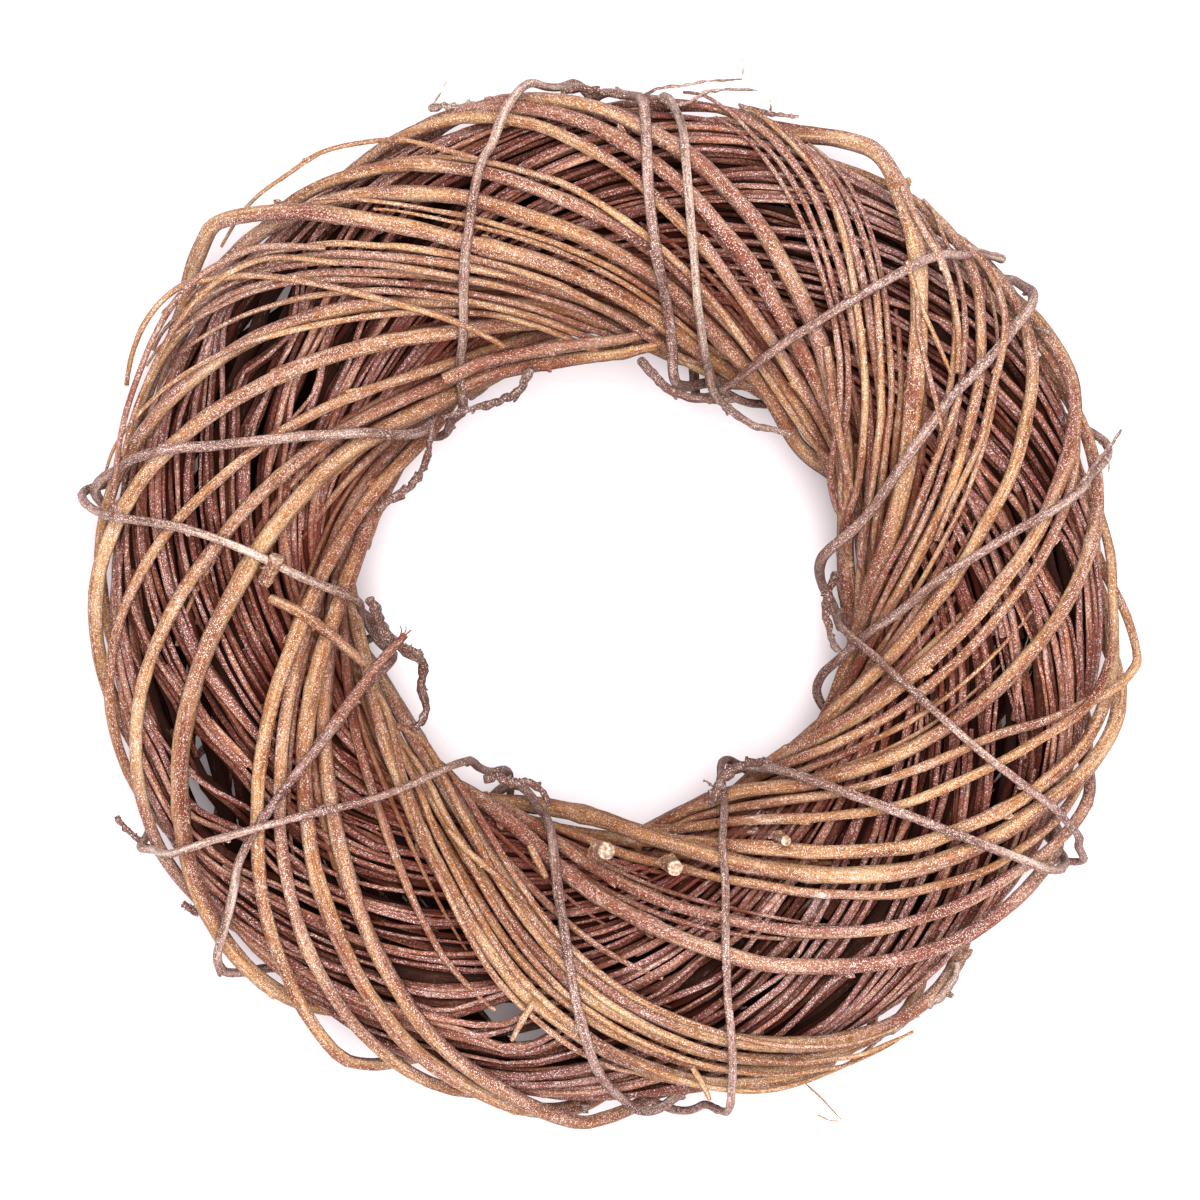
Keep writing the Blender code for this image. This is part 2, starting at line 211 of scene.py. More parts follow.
def evenSteps(turn, flow, lift, segments):
    roll = rollOf(flow)
    points, _ = onRing(turn, roll, lift + laying["routeHeight"])
    along = np.concatenate([[0], np.cumsum(np.linalg.norm(np.diff(points, axis=0), axis=1))])
    places = np.linspace(0, along[-1], segments + 1)
    return np.interp(places, along, turn), np.interp(places, along, roll), np.interp(places, along, lift)


def undersideTurns(edgeTurns, offset):
    count = len(edgeTurns)
    first = np.mean(edgeTurns) + offset - 180 + 180 / count
    first = round(first / (360 / count)) * (360 / count)
    turns = np.empty(count)
    turns[np.argsort(edgeTurns)] = first + np.arange(count) * 360 / count
    return turns


def apartAtHole(turns, thicknesses):
    room = (thicknesses + np.roll(thicknesses, -1)) / 2 * rods["edgeShare"] / rods["edgeRoom"]
    turns = turns.copy()
    for _ in range(rods["edgeRounds"]):
        following = np.append(turns[1:], turns[0] + 360)
        short = np.maximum(room - (following - turns), 0) / 2
        turns += np.roll(short, 1) - short
    return turns


def rodRoutes():
    crossings, slopes, thicknesses = (np.array(column) for column in list(zip(*rods["layout"]))[:3])
    leave = crossings + topFlow / slopes
    for i, crossing in enumerate(crossings):
        if crossing in rods["kinks"]:
            leave[i] = rods["kinks"][crossing][0] + rods["kinkToEdge"]
    enter = apartAtHole(crossings - (180 - topFlow) / slopes, thicknesses)
    tails = undersideTurns(leave, topFlow / rods["backSlope"])
    heads = undersideTurns(enter, (topFlow - 180) / rods["backSlope"])
    rng = random.Random(rods["endSeed"])
    cuts, routes = {}, []
    straight = rods["straightUnder"]
    aside = straight / rods["backSlope"]
    for i, crossing in enumerate(crossings):
        tailCut = cuts.setdefault(round(tails[i]) % 360, rng.uniform(-rods["endSpread"], rods["endSpread"]))
        headCut = cuts.setdefault(round(heads[i]) % 360, rng.uniform(-rods["endSpread"], rods["endSpread"]))
        near, far = -topFlow, 360 - topFlow
        knownFlow = [near - straight, near + straight, 0, topFlow, 180, far - straight, far + straight]
        knownTurn = [tails[i] + aside, tails[i] - aside, leave[i], crossing, enter[i]]
        knownTurn += [heads[i] + aside, heads[i] - aside]
        first, last = 360 - topFlow + headCut - rods["endGap"], tailCut - topFlow + rods["endGap"]
        flow = np.linspace(first, last, rods["routePoints"])
        turn = smoothed(np.interp(flow, knownFlow, knownTurn), rods["routeSmoothing"])
        lift = np.zeros(len(flow))
        if crossing in rods["kinks"]:
            at, reach = rods["kinks"][crossing]
            spread = np.where(turn < at, *rods["kinkSpread"])
            lift = reach * np.clip(1 - np.abs(turn - at) / spread, 0, 1)
        routes.append((turn, flow, lift))
    return routes


def levelRun(turn, roll):
    steep = np.abs(np.sin(np.radians(roll)))
    out = np.cos(np.radians(roll)) / halfWidth(turn, np.cos(np.radians(roll)) < 0)
    up = steep / ring["bedHalfHeight"]
    height = (ring["bedHalfHeight"] * (1 - steep) + ring["underHeight"]) * np.hypot(out, up)
    under = np.abs((roll - 90) % 360 - 180) < binding["underRun"]
    return np.where(under, height / np.where(under, up, 1), 0)


def bindingRoute(passes, rising):
    knownFlow, knownTurn = [], []
    for n, (hole, crest, edge) in enumerate(passes):
        stops = [(180, hole), (topFlow, crest), (0, edge)]
        if rising:
            stops.insert(0, (binding["holeRun"][0], hole - binding["holeRun"][1]))
        else:
            stops.reverse()
        base = -360 * n if rising else 360 * n
        knownFlow += [base + f for f, _ in stops]
        knownTurn += [t for _, t in stops]
        if n + 1 < len(passes):
            following = passes[n + 1][0] if rising else passes[n + 1][2]
            knownFlow.append(base + (-topFlow if rising else 360 - topFlow))
            knownTurn.append((stops[-1][1] + following) / 2)
    flow = np.linspace(knownFlow[0], knownFlow[-1], binding["routePoints"] * len(passes))
    sign = -1 if rising else 1
    turn = smoothed(np.interp(sign * flow, sign * np.array(knownFlow), knownTurn), binding["routeSmoothing"])
    lift = binding["loop"] * np.clip(np.cos(np.radians(flow)), 0, 1) ** 4
    return turn, flow, lift


def raised(points, outward, need, starts, ends, needs):
    along = ends - starts
    length = np.einsum("ij,ij->i", along, along)
    away = points[:, None, :] - starts[None, :, :]
    share = np.clip(np.einsum("pij,ij->pi", away, along) / length, 0, 1)
    away = away - share[..., None] * along[None, :, :]
    distance = np.einsum("pij,pij->pi", away, away)
    wanted = (need + needs) ** 2
    facing = np.einsum("pij,pj->pi", away, outward)
    move = -facing + np.sqrt(np.maximum(facing ** 2 - distance + wanted, 0))
    return np.where(distance < wanted, move, 0).max(axis=1)


def cleared(turn, roll, height, radius, climb, laid, way=1, samples=10):
    # moves a twig out of the bed and of all that is laid, or with way -1 down under what is laid
    shares = np.linspace(0, 1, samples, endpoint=False)
    both = (1 - shares) ** 2 + shares ** 2
    for _ in range(laying["rounds"]):
        points, outward = onRing(turn, roll, height)
        first, last = points[:-1], points[1:]
        tested = (first[:, None] * (1 - shares)[:, None] + last[:, None] * shares[:, None]).reshape(-1, 3)
        facing = np.repeat(outward[:-1] * way, samples, axis=0)
        move = np.zeros(len(tested))
        if way > 0:
            move = np.maximum(radius + laying["bedClearance"] - heightOverBed(tested), 0)
        if laid:
            starts, ends, needs = (np.concatenate(column) for column in zip(*laid))
            lifted = raised(tested, facing, radius + laying["rodClearance"], starts, ends, needs)
            move = np.maximum(move, lifted)
        move = move.reshape(-1, samples)
        if move.max() < laying["closeEnough"]:
            break
        move = np.where(move > 0, move + laying["closeEnough"], 0)
        before = (move * (1 - shares) / both).max(axis=1)
        after = (move * shares / both).max(axis=1)
        height = way * height + np.maximum(np.append(before, 0), np.append(0, after))
        along = np.concatenate([[0], np.cumsum(np.linalg.norm(np.diff(points, axis=0), axis=1))])
        height = way * (height[None, :] - climb * np.abs(along[:, None] - along[None, :])).max(axis=1)
    return height


def throughPoints(values, places):
    # a smooth line through evenly spaced values, read at places counted in steps
    values = np.concatenate([[2 * values[0] - values[1]], values, [2 * values[-1] - values[-2]]])
    step = np.clip(np.floor(places).astype(int), 0, len(values) - 4)
    t = places - step
    a, b, c, d = (values[step + k] for k in range(4))
    return b + t / 2 * (c - a + t * (2 * a - 5 * b + 4 * c - d + t * (3 * (b - c) + d - a)))


def layTwig(route, segments, finer, radius, climb, laid, samples=10, levelUnder=False):
    # lays a twig as the solids are laid, and returns the same line with more points
    turn, roll, lift = evenSteps(*route, segments)
    height = cleared(turn, roll, radius + laying["bedClearance"] + lift, radius, climb, laid, 1, samples)
    if levelUnder:
        height = np.maximum(height, levelRun(turn, roll))
        height = cleared(turn, roll, height, radius, climb, laid, 1, samples)
    points, _ = onRing(turn, roll, height)
    laid.append((points[:-1], points[1:], np.full(len(points) - 1, radius)))
    fineTurn, fineRoll, fineLift = evenSteps(*route, segments * finer)
    fineHeight = throughPoints(height - lift, np.arange(segments * finer + 1) / finer) + fineLift
    return fineTurn, fineRoll, fineHeight


# sticks: one straight twig is modelled, and every twig is a copy bent along its own line
def selectOnly(*objects):
    bpy.ops.object.select_all(action="DESELECT")
    for o in objects:
        o.select_set(True)
    bpy.context.view_layer.objects.active = objects[0]


stickKinds = {
    # sides, rings, length, knots and seed; the radius is 1
    "fine": (6, 60, 400, 8, 1),
    "hidden": (5, 44, 400, 5, 2),
    "rod0": (12, 132, 160, 6, 10),
    "rod1": (12, 132, 160, 6, 11),
    "rod2": (12, 132, 160, 6, 12),
    "rod3": (12, 132, 160, 6, 13),
    "binding": (10, 900, 1300, 50, 20),
    "thin": (8, 60, 180, 5, 30),
    "loose": (8, 36, 60, 3, 31),
    "gnarled": (8, 48, 40, 12, 32),
}
stickShape = {
    "cutsAtOnce": 60,
    "knot": (1.03, 1.12, 1.05),  # thickness before, at and after a knot
    "knotReach": (1.5, 1.3),  # from the knot to the rings before and after it
    "outOfRound": (0.89, 1.09),
    "budLeans": 0.5,
    "budStandsOut": 0.55,
    "budTip": 0.5,
}


def makeStick(name, sides, rings, length, knots, seed):
    # a stick of radius 1 along +X, slightly out of round, with swollen knots that each carry a small bud
    rng = random.Random(seed)
    bpy.ops.object.select_all(action="DESELECT")
    bpy.ops.mesh.primitive_cylinder_add(
        vertices=sides, radius=1, depth=length, location=(length / 2, 0, 0), rotation=(0, math.pi / 2, 0))
    stick = bpy.context.object
    stick.name = name
    bpy.ops.object.transform_apply()
    bpy.ops.object.mode_set(mode="EDIT")
    bpy.ops.mesh.select_mode(type="EDGE")
    left = rings
    while left > 1:
        cuts = min(left, stickShape["cutsAtOnce"])
        shape = bmesh.from_edit_mesh(stick.data)
        for edge in shape.edges:
            a, b = edge.verts
            edge.select_set(abs(a.co.x - b.co.x) > 1e-4)
        bmesh.update_edit_mesh(stick.data)
        bpy.ops.mesh.subdivide(number_cuts=cuts - 1)
        left = math.ceil(left / cuts)
    shape = bmesh.from_edit_mesh(stick.data)
    places = sorted({round(v.co.x, 4) for v in shape.verts})
    moved = dict.fromkeys(places, 0.0)
    swell = dict.fromkeys(places, 1.0)
    buds = []
    for k in range(knots):
        at = int(len(places) * (k + rng.uniform(0.25, 0.75)) / knots)
        if 3 < at < len(places) - 5:
            step = places[at + 1] - places[at]
            shifts = step - stickShape["knotReach"][0], 0, stickShape["knotReach"][1] - step
            for near, size, shift in zip((at - 1, at, at + 1), stickShape["knot"], shifts):
                swell[places[near]] = size
                moved[places[near]] = shift if abs(shift) < step * 0.8 else 0.0
            buds.append((places[at] - step * 0.1, places[at] + 1.5, rng.uniform(0, 2 * math.pi)))
    uneven = [rng.uniform(*stickShape["outOfRound"]) for _ in range(sides)]
    for vert in shape.verts:
        at = round(vert.co.x, 4)
        side = round(math.atan2(vert.co.z, vert.co.y) / (2 * math.pi) * sides) % sides
        vert.co.x += moved[at]
        vert.co.y *= swell[at] * uneven[side]
        vert.co.z *= swell[at] * uneven[side]
    bpy.ops.mesh.select_mode(type="FACE")
    for start, end, angle in buds:
        shape = bmesh.from_edit_mesh(stick.data)
        shape.faces.ensure_lookup_table()
        for face in shape.faces:
            middle = face.calc_center_median()
            aside = math.cos(math.atan2(middle.z, middle.y) - angle)
            face.select_set(start < middle.x < end and aside > math.cos(math.pi / sides))
        bmesh.update_edit_mesh(stick.data)
        if any(face.select for face in shape.faces):
            away = stickShape["budStandsOut"]
            out = (stickShape["budLeans"], away * math.cos(angle), away * math.sin(angle))
            bpy.ops.mesh.extrude_region_move(TRANSFORM_OT_translate={"value": out})
            bpy.ops.transform.resize(value=(stickShape["budTip"],) * 3)
    bpy.ops.mesh.select_all(action="DESELECT")
    bpy.ops.object.mode_set(mode="OBJECT")
    bpy.ops.object.shade_smooth_by_angle(angle=math.radians(70))
    return stick


def readVectors(data, name):
    values = np.empty(len(data) * 3)
    data.foreach_get(name, values)
    return values.reshape(-1, 3)


def bendCopy(stick, name, points, radii, look):
    # a copy of the stick with its own mesh, bent along the points
    # look is gold, frost, gnarl and where its grain starts; each may change along the twig
    bendLine = bpy.data.curves.new(name + "Line", "CURVE")
    bendLine.dimensions = "3D"
    bendLine.use_path = True
    spline = bendLine.splines.new("POLY")
    spline.points.add(len(points) - 1)
    spline.points.foreach_set("co", np.column_stack([points * mm, np.ones(len(points))]).ravel())
    spline.points.foreach_set("radius", radii * mm)
    guide = bpy.data.objects.new(name + "Guide", bendLine)
    bpy.context.collection.objects.link(guide)
    length = float(np.linalg.norm(np.diff(points, axis=0), axis=1).sum()) * mm
    mesh = stick.data.copy()
    place = readVectors(mesh.vertices, "co")
    place[:, 0] *= length / place[:, 0].max()
    mesh.vertices.foreach_set("co", place.ravel())
    share = place[:, 0] / length
    looks = [np.interp(share, np.linspace(0, 1, np.size(value)), np.atleast_1d(value)) for value in look[:3]]
    thick = float(np.mean(radii)) * mm
    grain = mesh.attributes.new("grain", "FLOAT_VECTOR", "POINT")
    grain.data.foreach_set("vector", (place * (1, thick, thick) + (look[3], 0, 0)).ravel())
    tint = mesh.attributes.new("tint", "FLOAT_VECTOR", "POINT")
    tint.data.foreach_set("vector", np.column_stack(looks).ravel())
    twig = bpy.data.objects.new(name, mesh)
    bpy.context.collection.objects.link(twig)
    bend = twig.modifiers.new("bend", "CURVE")
    bend.object = guide
    bend.deform_axis = "POS_X"
    return twig, guide


def joinTwigs(name, bent):
    # applies every bend and makes one piece of the twigs
    twigs = [twig for twig, _ in bent]
    selectOnly(*twigs)
    bpy.ops.object.convert(target="MESH")
    if len(twigs) > 1:
        bpy.ops.object.join()
    piece = bpy.context.object
    piece.name = name
    piece.data.name = name
    for _, guide in bent:
        bpy.data.objects.remove(guide)
    return piece


def triangles(piece):
    return sum(len(face.vertices) - 2 for face in piece.data.polygons)


frostSpots = (
    # x, y, radius and strength of where more dust lies on top
    (44.4, -63.3, 9.5, 2.9), (60.7, -84.9, 7, 2.9), (94.8, 94.8, 7.5, 2.7), (78.5, 124.3, 5.5, 2.3),
    (79.4, 98, 6, 2.3), (-16, 114, 3.5, 2.3), (96, 61, 5, 2.3), (70, -78, 5, 2.3),
    (-98, 80, 75, 1.3), (80, 109, 60, 1.4), (51, -95, 70, 1.3), (-13, -116, 50, 1.1),
)


def settle(piece, material, *nodes):
    # keeps the piece over the floor, dusts it, gives it its bark, hangs it on the root and hides the solids
    # it stands for
    place = readVectors(piece.data.vertices, "co")
    tint = piece.data.attributes.get("tint")
    if tint:
        looks = readVectors(tint.data, "vector")
        for x, y, radius, strength in frostSpots:
            near = 1 - np.hypot(place[:, 0] / mm - x, place[:, 1] / mm - y) / radius
            near = np.clip(near, 0, 0.8) * (place[:, 2] > middleLevel * mm)
            looks[:, 1] = np.maximum(looks[:, 1], strength * near)
        tint.data.foreach_set("vector", looks.ravel())
    place[:, 2] = np.maximum(place[:, 2], 0)
    piece.data.vertices.foreach_set("co", place.ravel())
    piece.data.update()
    piece.data.materials.clear()
    piece.data.materials.append(material)
    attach(piece, "root")
    if nodes:
        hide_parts(*nodes)


# painted shade: how much darker the bark is painted where it lies deep among the twigs
paintedShadeByDepth = {
    "cell": (1, 4),  # degrees round the ring and round its section
    "highest": 8,
    "from": 2.1,  # depth under the top of what is round a point
    "over": 10.5,
    "deep": 4.5,  # depth under the bed's own outline
    "shadeTowardsHole": 0.28,
}


def paintShadeByDepth(pieces):
    # painted shade for the bark's colour: 1 deep between the twigs, where shade falls, 0 on top; a little
    # more towards the hole, less towards the outer edge
    places = []
    wide, tall = paintedShadeByDepth["cell"]
    top = np.full((360 // wide, 360 // tall), -99.0)
    for piece in pieces:
        place = readVectors(piece.data.vertices, "co") / mm - (0, 0, middleLevel)
        turn = np.degrees(np.arctan2(place[:, 1], place[:, 0])) % 360
        away = np.hypot(place[:, 0], place[:, 1]) - ring["radius"]
        out, up = away / halfWidth(turn, away < 0), place[:, 2] / ring["bedHalfHeight"]
        roll = np.degrees(np.arctan2(up, out)) % 360
        height = heightOverBed(place)
        column = np.floor(turn / wide).astype(int) % (360 // wide)
        row = np.floor(roll / tall).astype(int) % (360 // tall)
        np.maximum.at(top, (column, row), np.minimum(height, paintedShadeByDepth["highest"]))
        places.append(((column, row), height, away))
    near = [(i, j) for i in (-1, 0, 1) for j in (-1, 0, 1)]
    top = np.max([np.roll(top, shift, (0, 1)) for shift in near], axis=0)
    top = np.mean([np.roll(top, shift, (0, 1)) for shift in near], axis=0)
    for piece, (cell, height, away) in zip(pieces, places):
        under = (top[cell] - height - paintedShadeByDepth["from"]) / paintedShadeByDepth["over"]
        under = np.maximum(under, (-paintedShadeByDepth["deep"] - height) / paintedShadeByDepth["deep"])
        # painted shade: more towards the hole, less towards the outer edge
        under = np.maximum(under, 0) - paintedShadeByDepth["shadeTowardsHole"] * away / ring["bedHalfWidth"]
        depth = piece.data.attributes.new("depth", "FLOAT", "POINT")
        depth.data.foreach_set("value", np.clip(under, 0, 1))


def roughen(piece, size, strength):
    # small unevenness in the shape itself
    clouds = bpy.data.textures.new(piece.name + "Clouds", "CLOUDS")
    clouds.noise_scale = size * mm
    uneven = piece.modifiers.new("uneven", "DISPLACE")
    uneven.texture = clouds
    uneven.strength = strength * mm
    uneven.mid_level = 0.5
    selectOnly(piece)
    bpy.ops.object.modifier_apply(modifier="uneven")


def wander(rng, along, waves, reach):
    # a slow irregular swing
    total = np.zeros(len(along))
    for wave in waves:
        total += np.sin(along * 2 * math.pi / wave + rng.uniform(0, 2 * math.pi)) * rng.uniform(0.5, 1)
    return total * reach / len(waves)


# bark
def newMaterial(name):
    material = bpy.data.materials.new(name)
    material.use_nodes = True
    return material, material.node_tree, material.node_tree.nodes["Principled BSDF"]


def feed(tree, socket, value):
    # a number, a colour or what another node gives
    if isinstance(value, tuple):
        socket.default_value = (*value, 1)
    elif isinstance(value, (int, float)):
        socket.default_value = value
    else:
        tree.links.new(value, socket)


def attributeOf(tree, name, output):
    node = tree.nodes.new("ShaderNodeAttribute")
    node.attribute_name = name
    return node.outputs[output]


def splitUp(tree, vector):
    node = tree.nodes.new("ShaderNodeSeparateXYZ")
    tree.links.new(vector, node.inputs[0])
    return node.outputs["X"], node.outputs["Y"], node.outputs["Z"]


def ramp(tree, stops, source):
    node = tree.nodes.new("ShaderNodeValToRGB")
    bar = node.color_ramp
    while len(bar.elements) < len(stops):
        bar.elements.new(0.5)
    for element, (place, colour) in zip(bar.elements, stops):
        element.position = place
        element.color = (*colour, 1)
    tree.links.new(source, node.inputs["Fac"])
    return node.outputs["Color"]


def math2(tree, operation, a, b, clamp=False):
    node = tree.nodes.new("ShaderNodeMath")
    node.operation = operation
    node.use_clamp = clamp
    feed(tree, node.inputs[0], a)
    feed(tree, node.inputs[1], b)
    return node.outputs[0]


def between(tree, source, low, high):
    # 0 below low, 1 above high
    node = tree.nodes.new("ShaderNodeMapRange")
    node.clamp = True
    node.inputs["From Min"].default_value = low
    node.inputs["From Max"].default_value = high
    tree.links.new(source, node.inputs["Value"])
    return node.outputs["Result"]


def mixColour(tree, factor, a, b):
    node = tree.nodes.new("ShaderNodeMix")
    node.data_type = "RGBA"
    feed(tree, node.inputs[0], factor)
    feed(tree, node.inputs[6], a)
    feed(tree, node.inputs[7], b)
    return node.outputs[2]


def noiseOn(tree, vector, scale, detail):
    stretch = tree.nodes.new("ShaderNodeMapping")
    stretch.inputs["Scale"].default_value = scale
    tree.links.new(vector, stretch.inputs["Vector"])
    node = tree.nodes.new("ShaderNodeTexNoise")
    node.inputs["Scale"].default_value = 1.0
    node.inputs["Detail"].default_value = detail
    node.inputs["Roughness"].default_value = 0.55
    tree.links.new(stretch.outputs["Vector"], node.inputs["Vector"])
    return node.outputs["Fac"]


def addBump(tree, shader, relief, strength, distance):
    bump = tree.nodes.new("ShaderNodeBump")
    bump.inputs["Strength"].default_value = strength
    bump.inputs["Distance"].default_value = distance
    tree.links.new(relief, bump.inputs["Height"])
    tree.links.new(bump.outputs["Normal"], shader.inputs["Normal"])


barkKinds = {
    # dark, middle and light colour of dull, of golden and of ruddy bark
    "rodBark": {
        "dull": ((0.082, 0.020, 0.010), (0.190, 0.075, 0.045), (0.295, 0.175, 0.127)),
        "golden": ((0.125, 0.037, 0.014), (0.282, 0.131, 0.052), (0.375, 0.238, 0.124)),
        "ruddy": ((0.072, 0.016, 0.009), (0.163, 0.050, 0.035), (0.260, 0.136, 0.110)),
        "dust": (0.72, 0.61, 0.55), "dustLevel": 0.82,
        "roughness": 0.60, "mirror": 0.10, "furrows": 0.36, "veil": 0.008,
    },
    "bindingBark": {
        "dull": ((0.056, 0.019, 0.013), (0.200, 0.104, 0.082), (0.320, 0.208, 0.174)),
        "golden": ((0.110, 0.055, 0.038), (0.310, 0.205, 0.160), (0.500, 0.400, 0.335)),
        "ruddy": ((0.044, 0.015, 0.012), (0.155, 0.071, 0.060), (0.280, 0.170, 0.148)),
        "dust": (0.74, 0.63, 0.58), "dustLevel": 0.76,
        "roughness": 0.62, "mirror": 0.10, "furrows": 0.55, "veil": 0.02,
    },
    "bedBark": {
        "dull": ((0.070, 0.014, 0.008), (0.155, 0.045, 0.030), (0.285, 0.150, 0.120)),
        "golden": ((0.098, 0.023, 0.010), (0.245, 0.081, 0.038), (0.360, 0.195, 0.125)),
        "ruddy": ((0.060, 0.011, 0.007), (0.130, 0.031, 0.021), (0.240, 0.108, 0.088)),
        "dust": (0.72, 0.61, 0.58), "dustLevel": 0.77,
        "roughness": 0.55, "mirror": 0.06, "furrows": 0.30, "veil": 0.045,
    },
    # painted shade: a darker copy of the bed's bark for the middle and inner layers, where less light reaches
    "deepBarkPaintedShade": {
        "dull": ((0.034, 0.008, 0.005), (0.116, 0.033, 0.021), (0.195, 0.080, 0.060)),
        "golden": ((0.062, 0.014, 0.007), (0.148, 0.046, 0.025), (0.245, 0.105, 0.066)),
        "ruddy": ((0.044, 0.009, 0.006), (0.094, 0.025, 0.016), (0.165, 0.060, 0.045)),
        "dust": (0.40, 0.27, 0.22), "dustLevel": 0.86,
        "roughness": 0.60, "mirror": 0.0, "furrows": 0.20, "veil": 0.02,
    },
    # painted shade: a near-black copy for the heart layer, so that the hollows and gaps look dark
    "heartBarkPaintedShade": {
        "dull": ((0.018, 0.007, 0.005), (0.055, 0.021, 0.014), (0.100, 0.044, 0.032)),
        "golden": ((0.022, 0.008, 0.005), (0.064, 0.024, 0.015), (0.110, 0.050, 0.033)),
        "ruddy": ((0.016, 0.006, 0.005), (0.046, 0.017, 0.012), (0.086, 0.038, 0.029)),
        "dust": (0.20, 0.13, 0.11), "dustLevel": 0.90,
        "roughness": 0.60, "mirror": 0.0, "furrows": 0.10, "veil": 0.0,
    },
}
barkLook = {
    # scale along and across a twig, and detail, of each noise
    "streaks": ((70, 900, 900), 4),  # long fibres in the bark
    "patches": ((30, 120, 120), 3),  # older and younger bark
    "sides": ((11, 330, 330), 2),  # one side of a twig browner than the other
    "fine": ((700, 2900, 2900), 3),
    "furrows": ((24, 1200, 1200), 2),
    "furrowEdge": (0.53, 0.64),
    "hoar": ((240, 850, 850), 4),  # a crust of dust
    "hoarEdge": (0.67, 0.86),
    "clouds": ((130, 130, 130), 2),  # where more grains of dust lie, over the whole wreath
    "cells": 3500,  # grains of dust in a metre
    "darkCells": (0.80, 0.55),
    "stops": (0.34, 0.50, 0.66),  # of the dark, middle and light colour
    "warmth": (3.0, 2.4, 3.2),  # level, and shares of patches and sides in the change to golden or ruddy
    "changeSpeed": 1.3,
    "paintedLightLevel": 0.75,  # painted shade: under it a twig is painted darker with its depth
    "sheen": (0.95, 0.50, 0.34),  # what little the bark mirrors is tinted by it
    "bump": (0.4, 0.0004),
}


def barkMaterial(name):
    kind = barkKinds[name]
    material, tree, shader = newMaterial(name)
    plus, minus, times = (functools.partial(math2, tree, word) for word in ("ADD", "SUBTRACT", "MULTIPLY"))
    grain = attributeOf(tree, "grain", "Vector")
    tone, frost, gnarl = splitUp(tree, attributeOf(tree, "tint", "Vector"))
    # depth carries the painted shade
    depth = attributeOf(tree, "depth", "Fac")
    place = tree.nodes.new("ShaderNodeTexCoord").outputs["Object"]
    noises = ("streaks", "patches", "sides", "fine", "furrows", "hoar")
    streaks, patches, sides, fine, furrows, hoar = (noiseOn(tree, grain, *barkLook[n]) for n in noises)

    value = plus(times(streaks, 0.6), times(patches, 0.4))
    value = plus(value, times(minus(fine, 0.5), 0.5))
    shades = (tuple(zip(barkLook["stops"], kind[shade])) for shade in ("dull", "golden", "ruddy"))
    dull, golden, ruddy = (ramp(tree, stops, value) for stops in shades)
    level, patchShare, sideShare = barkLook["warmth"]
    warm = plus(minus(tone, level), plus(times(patches, patchShare), times(sides, sideShare)))
    colour = mixColour(tree, times(warm, barkLook["changeSpeed"], True), dull, golden)
    colour = mixColour(tree, times(warm, -barkLook["changeSpeed"], True), colour, ruddy)
    furrows = between(tree, furrows, *barkLook["furrowEdge"])
    colour = mixColour(tree, times(furrows, kind["furrows"]), colour, kind["dull"][0])
    # high is painted light: 1 on top, less deep between the twigs
    high = plus(minus(barkLook["paintedLightLevel"], depth), times(patches, 0.5), True)
    paintedLightLessGnarl = minus(high, times(gnarl, 0.5), True)
    colour = mixColour(tree, paintedLightLessGnarl, kind["dull"][0], colour)  # painted shade: deep parts are painted in the dark colour and their dust fades; gnarled twigs are darker of their own

    # the veil of dust shows only where the bark is painted as lit
    colour = mixColour(tree, times(times(frost, kind["veil"]), high), colour, kind["dust"])
    cells = tree.nodes.new("ShaderNodeTexVoronoi")  # grain, and dust that glitters in some of its cells
    cells.inputs["Scale"].default_value = barkLook["cells"]
    tree.links.new(place, cells.inputs["Vector"])
    chance, size, darkness = splitUp(tree, cells.outputs["Color"])
    darkFrom, darkShare = barkLook["darkCells"]
    darker = times(math2(tree, "GREATER_THAN", darkness, darkFrom), darkShare)
    colour = mixColour(tree, darker, colour, kind["dull"][0])
    level = minus(kind["dustLevel"] + 0.52, times(noiseOn(tree, place, *barkLook["clouds"]), 1.3))
    level = minus(level, times(frost, 0.16))
    # more grains of dust where the bark is painted as lit
    level = minus(level, times(paintedLightLessGnarl, 0.15))
    picked = math2(tree, "GREATER_THAN", chance, level)
    near = between(tree, minus(0.6, cells.outputs["Distance"]), 0.0, 0.15)
    # the dust specks fade with the painted shade
    speck = times(times(picked, near), high)
    colour = mixColour(tree, times(speck, math2(tree, "POWER", size, 2.1)), colour, kind["dust"])
    chalk = minus(frost, 1.3, True)
    hoar = plus(plus(hoar, times(frost, 0.07)), times(chalk, 0.08))
    crumbs = plus(times(size, 0.6), 0.1)
    colour = mixColour(tree, times(between(tree, hoar, *barkLook["hoarEdge"]), crumbs), colour, kind["dust"])
    feed(tree, shader.inputs["Base Color"], colour)

    rough = minus(kind["roughness"] + 0.1, times(streaks, 0.2))
    feed(tree, shader.inputs["Roughness"], minus(rough, times(speck, 0.2)))
    shader.inputs["Specular IOR Level"].default_value = kind["mirror"]
    shader.inputs["Specular Tint"].default_value = (*barkLook["sheen"], 1)
    relief = plus(times(streaks, 0.8), times(fine, 0.3))
    relief = plus(relief, times(speck, 0.35))
    relief = minus(relief, times(furrows, 0.6 * kind["furrows"]))
    addBump(tree, shader, relief, *barkLook["bump"])
    return material


woodLook = {
    "rings": ((900, 900, 900), 4),
    "stops": ((0.36, (0.12, 0.06, 0.04)), (0.5, (0.28, 0.18, 0.12)), (0.64, (0.46, 0.35, 0.27))),
    "bump": (0.5, 0.0003),
}


def cutWoodMaterial():
    # the pale wood of a cut, with the rings and dust on it
    material, tree, shader = newMaterial("cutWood")
    place = tree.nodes.new("ShaderNodeTexCoord").outputs["Object"]
    pith = noiseOn(tree, place, *woodLook["rings"])
    feed(tree, shader.inputs["Base Color"], ramp(tree, woodLook["stops"], pith))
    feed(tree, shader.inputs["Roughness"], math2(tree, "ADD", math2(tree, "MULTIPLY", pith, 0.2), 0.6))
    addBump(tree, shader, pith, *woodLook["bump"])
    return material


